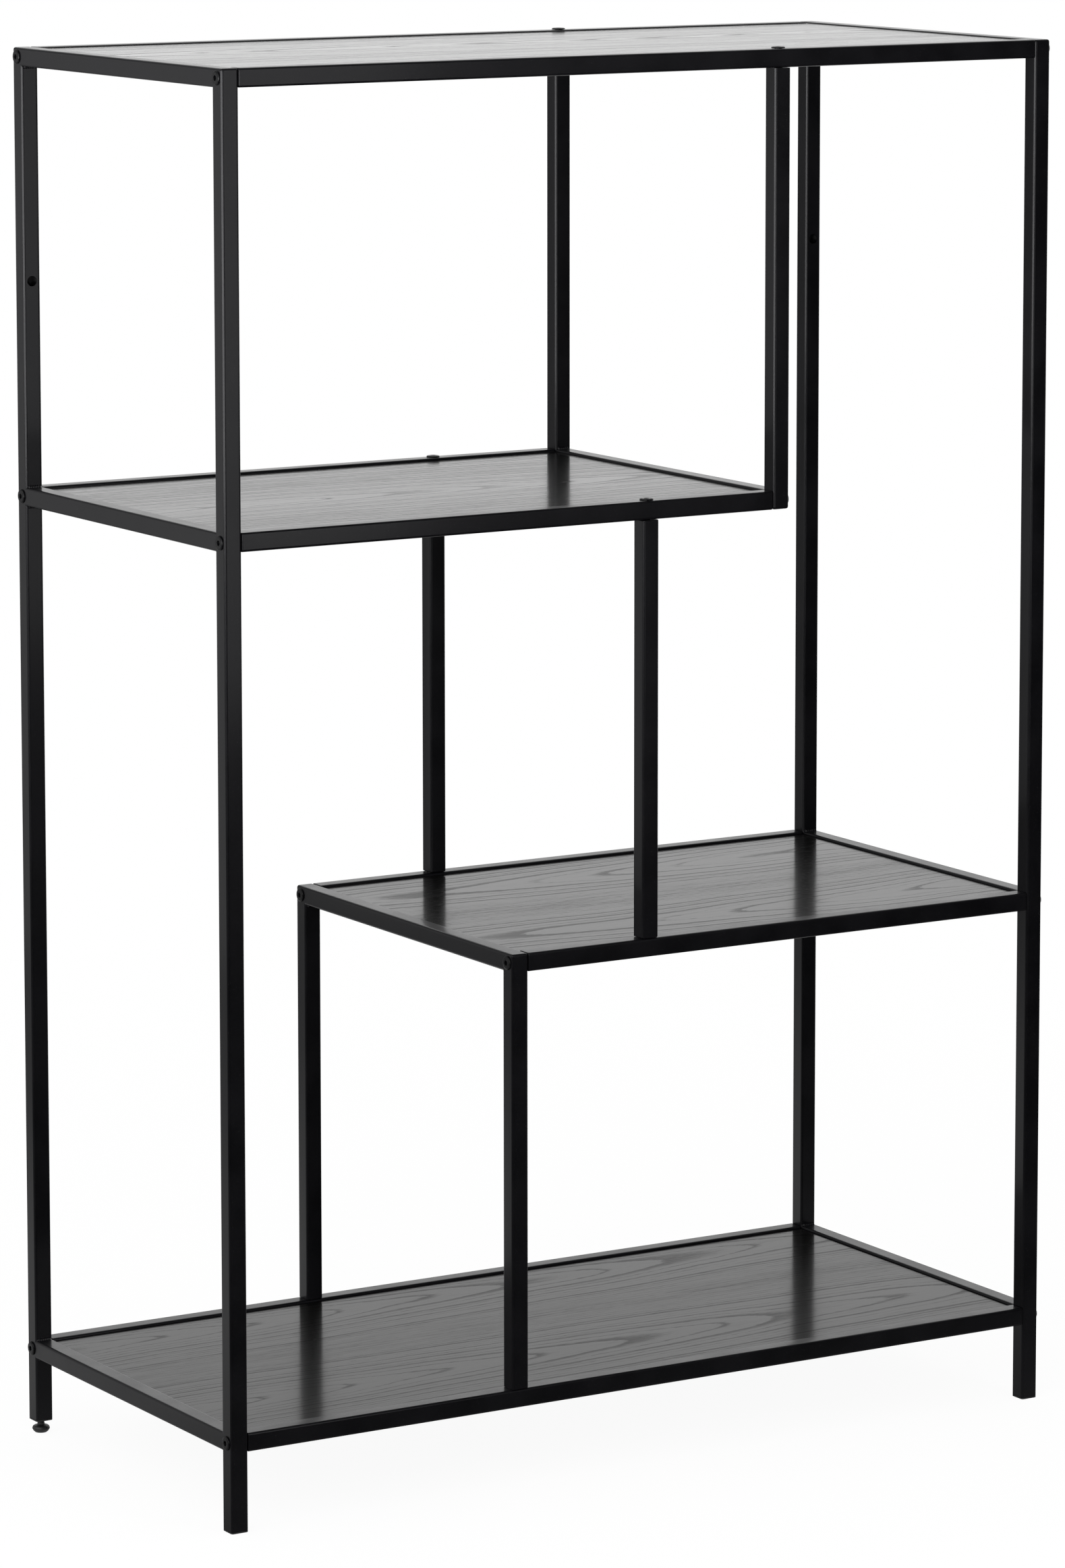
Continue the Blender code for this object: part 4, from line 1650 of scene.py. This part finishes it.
@dataclass
class PanelScrew(Fitting):
    """A pan-head screw with a cross recess.

    Attributes:
        shank: The radius of the thread's crests.
        rim: The radius of the head.
        face: The radius of the flat face on the head.
        height: The height of the head.
        rim_height: The height at which the head begins to round.
        length: The length under the head.
        chamfer: How far the point narrows.
        recess_length: The length of each wing of the cross, from end to end.
        pitch: How far apart the thread's crests are.
    """

    slot: ClassVar[Slot] = Slot.ZINC_SCREW
    steps: ClassVar[int] = 24

    shank: float = 0.00175
    rim: float = 0.0036
    face: float = 0.0024
    height: float = 0.0018
    rim_height: float = 0.0009
    dome_steps: int = 4
    length: float = 0.0081
    chamfer: float = 0.0005
    recess_length: float = 0.0034
    recess_width: float = 0.0007
    recess_depth: float = 0.0011
    pitch: float = 0.0009
    thread_depth: float = 0.0003

    def profile(self) -> list[Span]:
        """Draw the pan head, the thread's crests and roots, and the point.

        Returns:
            The section's points.
        """
        points = [
            (0.0, self.height),
            *dome(self.face, self.rim, self.rim_height, self.height, self.dome_steps),
            (self.rim, 0.0),
            (self.shank, 0.0),
            (self.shank, -self.pitch),
        ]
        turns = int((self.length - self.chamfer - self.pitch) / self.pitch)
        for turn in range(1, turns + 1):
            points.append((self.shank - self.thread_depth, -self.pitch * (turn + 0.5)))
            points.append((self.shank, -self.pitch * (turn + 1)))
        return [*points, (self.shank - self.chamfer, -self.length), (0.0, -self.length)]

    def sink_recess(self) -> None:
        """Sink the cross recess, one wing after the other."""
        low, high = self.height - self.recess_depth, self.height + OVERRUN
        long, short = self.recess_length / 2, self.recess_width / 2
        for x, y in ((long, short), (short, long)):
            Bench.combine(self.model, Change.CUT, [Bench.block((-x, -y, low), (x, y, high))])


@dataclass
class LevellingFoot(Fitting):
    """A mushroom glide on a threaded stem, with its sole at zero.

    Attributes:
        sole: The points of the soft-edged sole, as (radius, height).
        widest: The radius where the foot is widest.
        shoulder: The radius at the top of the domed head.
        neck: The points between the domed head and the stem.
        stem: The radius of the thread's crests.
        stem_top: The height of the stem's end.
        pitch: How far apart the thread's crests are.
    """

    slot: ClassVar[Slot] = Slot.BLACK_PLASTIC
    steps: ClassVar[int] = 36
    seat_gap: ClassVar[float] = 0.0

    sole: tuple[Span, ...] = (
        (0.0, 0.0), (0.0046, 0.0), (0.0050, 0.0001), (0.0062, 0.0012), (0.00695, 0.0024)
    )
    widest: float = 0.00725
    widest_height: float = 0.0030
    shoulder: float = 0.0052
    shoulder_height: float = 0.0056
    dome_steps: int = 6
    neck: tuple[Span, ...] = ((0.0036, 0.0061), (0.003, 0.0064))
    stem: float = 0.003
    stem_top: float = 0.0355
    chamfer: float = 0.0008
    pitch: float = 0.00125
    thread_depth: float = 0.00035

    def profile(self) -> list[Span]:
        """Draw the sole, the domed head and the threaded stem.

        Returns:
            The section's points.
        """
        head = dome(self.shoulder, self.widest, self.widest_height, self.shoulder_height, self.dome_steps)
        points = [*self.sole, *reversed(head), *self.neck]
        z = self.neck[-1][1] + self.pitch
        while z + self.pitch < self.stem_top - self.chamfer:
            points += [(self.stem, z), (self.stem - self.thread_depth, z + self.pitch / 2)]
            z += self.pitch
        end = self.stem_top
        return [*points, (self.stem, end - self.chamfer), (self.stem - self.chamfer, end), (0.0, end)]


@dataclass
class Framework:
    """The four welded frames.

    Attributes:
        wall_hole_drop: How far the wall holes are below the unit's top.
    """

    wall_hole_drop: float = 0.1875

    def build(self, finishes: Finishes) -> None:
        """Make the side frames, the hanging frame and the standing frame.

        Args:
            finishes: The finishes to dress them from.
        """
        front = PLAN.flange + PLAN.gap
        back = PLAN.foot_clear + PLAN.flange + PLAN.gap
        posts = {"front_end": front, "back_end": back, "wall_hole": PLAN.height - self.wall_hole_drop}
        left_rails = (PLAN.bottom_shelf, PLAN.upper_shelf, PLAN.height)
        right_rails = (PLAN.bottom_shelf, PLAN.lower_shelf, PLAN.height)
        hang = PLAN.height - PLAN.tube - PLAN.gap
        stand = PLAN.bottom_shelf + PLAN.gap
        upper, lower = (PLAN.upper_shelf,), (PLAN.lower_shelf,)
        right, hanging, standing = PLAN.right - PLAN.tube, PLAN.hanging_left, PLAN.standing_left
        for welded in (
            WeldedFrame("left_side_frame", PLAN.left, left_rails, tab_side=Side.RIGHT, **posts),
            WeldedFrame("right_side_frame", right, right_rails, tab_side=Side.LEFT, **posts),
            WeldedFrame("hanging_frame", hanging, upper, hang, hang, tab_side=Side.LEFT, blocked=True),
            WeldedFrame("standing_frame", standing, lower, stand, stand, tab_side=Side.RIGHT, blocked=True),
        ):
            welded.build(finishes)


@dataclass
class Shelf:
    """One shelf: two long rails, an inset panel and the panel's two screws.

    Attributes:
        level: The shelf's word in node names.
        start: The inner face of the frame at its left.
        end: The inner face of the frame at its right.
        top: The top of its rails.
        crossing: The place of the upright bolts through its rails.
        veneer: Its panel's leaf of veneer.
        sunk: Whether those bolts' heads are inside the rails.
        recess: How far its panel's top lies below the rails' tops.
        screw_spins: The turns of the front and the back screw, in degrees.
    """

    level: str
    start: float
    end: float
    top: float
    crossing: float
    veneer: BlackAsh
    sunk: bool = False
    recess: float = 0.002
    screw_spins: Span = (25.0, 65.0)

    def build(self, screw: PanelScrew, finishes: Finishes) -> None:
        """Make the shelf.

        Args:
            screw: The screw, with its model made.
            finishes: The finishes to dress it from.
        """
        tab = Tab()
        for row, spin in zip(Row, self.screw_spins):
            StraightTube(
                f"{self.level}_{row.label}_rail",
                Axis.ALONG_X,
                self.start + PLAN.gap,
                self.end - PLAN.gap,
                (0.0, PLAN.row_y(row), self.top - PLAN.half_tube),
                row,
                shelf_top=self.top,
                crossing=self.crossing,
                sunk=self.sunk,
            ).build(finishes)
            under = self.top - tab.under_shelf - tab.thickness
            seat = ((self.start + self.end) / 2, tab.screw_y(row), under)
            screw.place(f"{self.level}_panel_{row.label}_screw", seat, finishes, Facing.DOWN, spin)
        node = f"{self.level}_panel"
        ShelfPanel(node, self.start, self.end, self.top, self.veneer, self.recess).build(finishes)


@dataclass
class Shelving:
    """The four shelves and the struts between the middle two.

    Attributes:
        screw: The panels' screw.
        top_recess: How far the top panel lies below its rails, which is less than the others.
    """

    screw: PanelScrew = field(default_factory=PanelScrew)
    top_recess: float = 0.0010

    def build(self, finishes: Finishes) -> None:
        """Make the shelves and the struts.

        Args:
            finishes: The finishes to dress them from.
        """
        left, right = PLAN.left + PLAN.tube, PLAN.right - PLAN.tube
        hanging, standing = PLAN.hanging_left, PLAN.standing_left
        hanger, stand, strut = hanging + PLAN.half_tube, standing + PLAN.half_tube, PLAN.strut_middle
        top_leaf = BlackAsh("top", heart=0.035, toward=Side.LEFT, seed=3.1)
        upper_leaf = BlackAsh("upper", heart=-0.017, toward=Side.RIGHT, seed=7.4, pith_depth=0.036)
        lower_leaf = BlackAsh(
            "lower", heart=0.096, toward=Side.LEFT, seed=12.8, row_pitch=0.195, pith_depth=0.052
        )
        bottom_leaf = BlackAsh("bottom", heart=0.121, toward=Side.RIGHT, seed=18.3, row_pitch=0.206)
        self.screw.make_model()
        for shelf in (
            Shelf("top", left, right, PLAN.height, hanger, top_leaf, recess=self.top_recess),
            Shelf("upper", left, hanging, PLAN.upper_shelf, strut, upper_leaf),
            Shelf("lower", standing + PLAN.tube, right, PLAN.lower_shelf, strut, lower_leaf, sunk=True),
            Shelf("bottom", left, right, PLAN.bottom_shelf, stand, bottom_leaf, sunk=True),
        ):
            shelf.build(self.screw, finishes)
        Bench.discard(self.screw.model)
        low = PLAN.lower_shelf + PLAN.gap
        high = PLAN.upper_shelf - PLAN.tube - PLAN.gap
        for row in Row:
            middle = (strut, PLAN.row_y(row), 0.0)
            StraightTube(f"{row.label}_strut", Axis.ALONG_Z, low, high, middle, row).build(finishes)


@dataclass
class Bolts:
    """The connector bolts in all their places.

    Attributes:
        bolt: The bolt whose head lies on a tube.
        sunk: The shorter one whose head hides inside a rail.
        spin_step: How far each bolt is turned from the one before, in degrees.
    """

    bolt: ConnectorBolt = field(default_factory=ConnectorBolt)
    sunk: ConnectorBolt = field(default_factory=lambda: ConnectorBolt(rim=0.0050, length=0.0155))
    spin_step: float = 37.0

    def seats(self) -> list[tuple[str, float, float, Facing]]:
        """List where the pairs of bolts go.

        Returns:
            For each pair its word in node names, the x and the z of its seats, and where its heads point.
        """
        half = PLAN.half_tube
        left, right, strut = PLAN.left, PLAN.right, PLAN.strut_middle
        standing, hanging = PLAN.standing_left, PLAN.hanging_left
        top, upper = PLAN.height - half, PLAN.upper_shelf - half
        lower, bottom = PLAN.lower_shelf - half, PLAN.bottom_shelf - half
        return [
            ("left_top", left, top, Facing.LEFT),
            ("left_upper", left, upper, Facing.LEFT),
            ("left_bottom", left, bottom, Facing.LEFT),
            ("right_top", right, top, Facing.RIGHT),
            ("right_lower", right, lower, Facing.RIGHT),
            ("right_bottom", right, bottom, Facing.RIGHT),
            ("standing_lower", standing, lower, Facing.LEFT),
            ("hanging_upper", hanging + PLAN.tube, upper, Facing.RIGHT),
            ("hanger_top", hanging + half, PLAN.height, Facing.UP),
            ("strut_top", strut, PLAN.upper_shelf, Facing.UP),
            ("strut_base", strut, PLAN.lower_shelf - PLAN.wall, Facing.DOWN),
            ("stand_base", standing + half, PLAN.bottom_shelf - PLAN.wall, Facing.DOWN),
        ]

    def build(self, finishes: Finishes) -> None:
        """Make and place the bolts.

        Args:
            finishes: The finishes to dress them from.
        """
        for kind in (self.bolt, self.sunk):
            kind.make_model()
        spin = 0.0
        for place, x, z, facing in self.seats():
            kind = self.sunk if facing is Facing.DOWN else self.bolt
            for row in Row:
                spin += self.spin_step
                kind.place(f"{place}_{row.label}_bolt", (x, PLAN.row_y(row), z), finishes, facing, spin)
        for kind in (self.bolt, self.sunk):
            Bench.discard(kind.model)


@dataclass
class Feet:
    """The end plugs, the foot inserts and the levelling feet."""

    foot: LevellingFoot = field(default_factory=LevellingFoot)

    def build(self, finishes: Finishes) -> None:
        """Make what the posts stand on.

        Args:
            finishes: The finishes to dress them from.
        """
        self.foot.make_model()
        for side in Side:
            x = side.value * (PLAN.right - PLAN.half_tube)
            TubePlug(f"{side.label}_end_plug", x, Row.FRONT).build(finishes)
            insert = TubePlug(f"{side.label}_foot_insert", x, Row.BACK, low=PLAN.foot_clear, threaded=True)
            insert.build(finishes)
            self.foot.place(f"{side.label}_levelling_foot", (x, PLAN.row_y(Row.BACK), 0.0), finishes)
        Bench.discard(self.foot.model)


@dataclass(frozen=True)
class Softbox:
    """One soft rectangular lamp.

    Attributes:
        name: The lamp's name.
        place: The middle of its face.
        aim: The point that it faces.
        width: The width of its face.
        height: The height of its face.
        power: Its power in watts.
        spread: The angle that its grid lets light through, in degrees.
    """

    name: str
    place: Point
    aim: Point
    width: float
    height: float
    power: float
    spread: float = 180.0

    def hang(self) -> None:
        """Add the lamp, upright and hidden from the camera."""
        turn = (Vector(self.aim) - Vector(self.place)).to_track_quat("-Z", "Y").to_euler()
        bpy.ops.object.light_add(type="AREA", location=self.place, rotation=turn)
        lamp = bpy.context.active_object
        lamp.name = self.name
        lamp.data.shape = "RECTANGLE"
        lamp.data.size = self.width
        lamp.data.size_y = self.height
        lamp.data.energy = self.power
        lamp.data.spread = math.radians(self.spread)
        lamp.visible_camera = False


def edge_strip(word: str, x: float, y: float) -> Softbox:
    """Describe one of the low gridded strips that light the posts' edges but not the shelves.

    Args:
        word: The end of its name.
        x: Its place along X.
        y: Its place along Y.

    Returns:
        The strip, aimed upwards past the unit.
    """
    place, aim = (x, y, 0.86), (-0.1, 0.0, 2.42)
    return Softbox(f"edge_strip_{word}", place, aim, width=1.45, height=0.8, power=13.0, spread=76.0)


@dataclass(frozen=True)
class Studio:
    """A white sweep: pale floor, plain soft light and the camera.

    Attributes:
        world_level: The brightness of the light from all round.
        front_level: The brightness that reflections meet at the front.
        left_level: The brightness that reflections meet at the left.
        floor_left_level: The same on the floor near the unit.
        floor_share: How much of the floor's plain white shows near the unit.
        share_ends: How far from the middle that share begins to grow and ends.
        left_ends: How far from the middle floor_left_level ends and left_level begins.
        floor_room: For X and for Y on the floor, where the dim side ends and the bright one begins.
        world_room: The same for the directions of the world.
    """

    camera_place: Point = (-2.66341, -4.37899, 1.41973)
    camera_yaw: float = 0.54575
    camera_pitch: float = -0.13432
    camera_roll: float = -0.00081
    lens: float = 145.21
    sensor: float = 36.0
    shift_up: float = -0.15
    sight: float = 200.0
    floor_size: float = 90.0
    floor_colour: Point = (0.97, 0.97, 0.97)
    world_level: float = 0.80
    front_level: float = 0.01
    left_level: float = 0.22
    floor_left_level: float = 0.60
    floor_share: float = 0.94
    share_ends: Span = (0.5, 2.4)
    left_ends: Span = (0.8, 1.8)
    floor_room: tuple[Span, Span] = ((-1.0, 1.0), (-0.6, 0.6))
    world_room: tuple[Span, Span] = ((-0.3, 0.4), (-0.5, 0.3))
    softboxes: tuple[Softbox, ...] = (
        Softbox("high_softbox", (-2.52, -1.15, 1.90), (-0.1, 0.0, 1.2), width=4.6, height=2.4, power=70.0),
        edge_strip("left", -2.79, 0.235),
        edge_strip("middle", -2.547, -1.141),
        edge_strip("front", -1.649, -2.212),
        Softbox("side_softbox", (-1.75, 1.50, 0.66), (-0.1, 0.0, 0.66), width=1.6, height=1.7, power=3.9),
        Softbox("front_softbox", (0.57, -2.00, 1.15), (0.1, 0.0, 1.0), width=0.5, height=1.7, power=7.5),
    )

    def camera(self) -> None:
        """Set up the camera at the photograph's angle."""
        yaw, pitch = self.camera_yaw, self.camera_pitch
        level = math.cos(pitch)
        forward = Vector((math.sin(yaw) * level, math.cos(yaw) * level, math.sin(pitch)))
        right = Vector((math.cos(yaw), -math.sin(yaw), 0.0))
        up = right.cross(forward)
        roll = Matrix.Rotation(self.camera_roll, 3, forward)
        turn = (roll.inverted() @ Matrix((right, up, -forward)).transposed()).to_euler()
        bpy.ops.object.camera_add(location=self.camera_place, rotation=turn)
        camera = bpy.context.active_object
        camera.name = "photo_camera"
        camera.data.lens = self.lens
        camera.data.sensor_width = self.sensor
        camera.data.shift_y = self.shift_up
        camera.data.clip_end = self.sight
        bpy.context.scene.camera = camera

    def seen_level(self, board: NodeBoard, left: Value, room: Sequence[Span]) -> Socket:
        """Wire the brightness that rays meet.

        Args:
            board: The board of the floor or the world, whose coordinates say what a ray meets.
            left: The brightness of the left side.
            room: For X and for Y, where the dim side ends and where the bright side begins.

        Returns:
            The brightness: 1 for the camera, and in reflections 1 only at the back right.
        """
        parts = board.add("SeparateXYZ", {"Vector": board.place}).outputs
        dims = (left, self.front_level)
        levels = (board.ramp(parts[axis], *ends, dim) for axis, ends, dim in zip("XY", room, dims))
        path = board.add("LightPath", {}).outputs
        return board.math("MAXIMUM", board.times(*levels), path["Is Camera Ray"])

    def seen_share(self, board: NodeBoard) -> Socket:
        """Wire a value that is 1 for the rays that see the sweep, and 0 for the ones that light things.

        Args:
            board: The board of the floor or the world.

        Returns:
            The value.
        """
        path = board.add("LightPath", {}).outputs
        share = board.math("MAXIMUM", path["Is Camera Ray"], path["Is Glossy Ray"])
        return board.math("MAXIMUM", share, path["Is Transmission Ray"])

    def world(self) -> None:
        """Light the scene evenly, and show the sweep to the camera and in reflections."""
        world = bpy.data.worlds.new("studio")
        bpy.context.scene.world = world
        world.use_nodes = True
        board = NodeBoard(world.node_tree, Coordinates.ROUND_ABOUT)
        background = world.node_tree.nodes["Background"]
        background.inputs["Color"].default_value = (1.0, 1.0, 1.0, 1.0)
        level = self.seen_level(board, self.left_level, self.world_room)
        mix = board.add("Mix", {"Factor": self.seen_share(board), "A": self.world_level, "B": level})
        board.fill(background.inputs["Strength"], mix.outputs["Result"])

    def floor(self) -> None:
        """Lay the pale floor, which shows white to the camera but keeps the unit's soft shadow."""
        bpy.ops.object.select_all(action="DESELECT")
        bpy.ops.mesh.primitive_plane_add(size=self.floor_size)
        floor = bpy.context.active_object
        floor.name = "studio_floor"
        material = bpy.data.materials.new("pale_floor")
        material.use_nodes = True
        nodes = material.node_tree.nodes
        nodes.remove(nodes["Principled BSDF"])
        board = NodeBoard(material.node_tree)
        length = board.add("VectorMath", {0: board.place}, operation="LENGTH").outputs["Value"]
        near = board.ramp(length, *self.share_ends, self.floor_share)
        left = board.ramp(length, *self.left_ends, self.floor_left_level, self.left_level)
        glow = board.add("Emission", {"Strength": self.seen_level(board, left, self.floor_room)})
        diffuse = board.add("BsdfDiffuse", {"Color": (*self.floor_colour, 1.0)})
        share = board.times(self.seen_share(board), near)
        mix = board.add("MixShader", {0: share, 1: diffuse.outputs["BSDF"], 2: glow.outputs["Emission"]})
        board.fill(nodes["Material Output"].inputs["Surface"], mix.outputs["Shader"])
        floor.data.materials.append(material)

    def build(self) -> None:
        """Set up the floor, the light, the camera and the colour view."""
        self.floor()
        self.world()
        for softbox in self.softboxes:
            softbox.hang()
        self.camera()
        bpy.context.scene.view_settings.view_transform = "Standard"


def main() -> None:
    """Build the unit's pieces in order, then the studio."""
    logging.basicConfig(level=logging.INFO, format="%(message)s")
    finishes = Finishes()
    for assembly in (Framework(), Shelving(), Bolts(), Feet()):
        LOG.info("building %s", type(assembly).__name__)
        assembly.build(finishes)
    Studio().build()


if __name__ == "__main__":
    main()
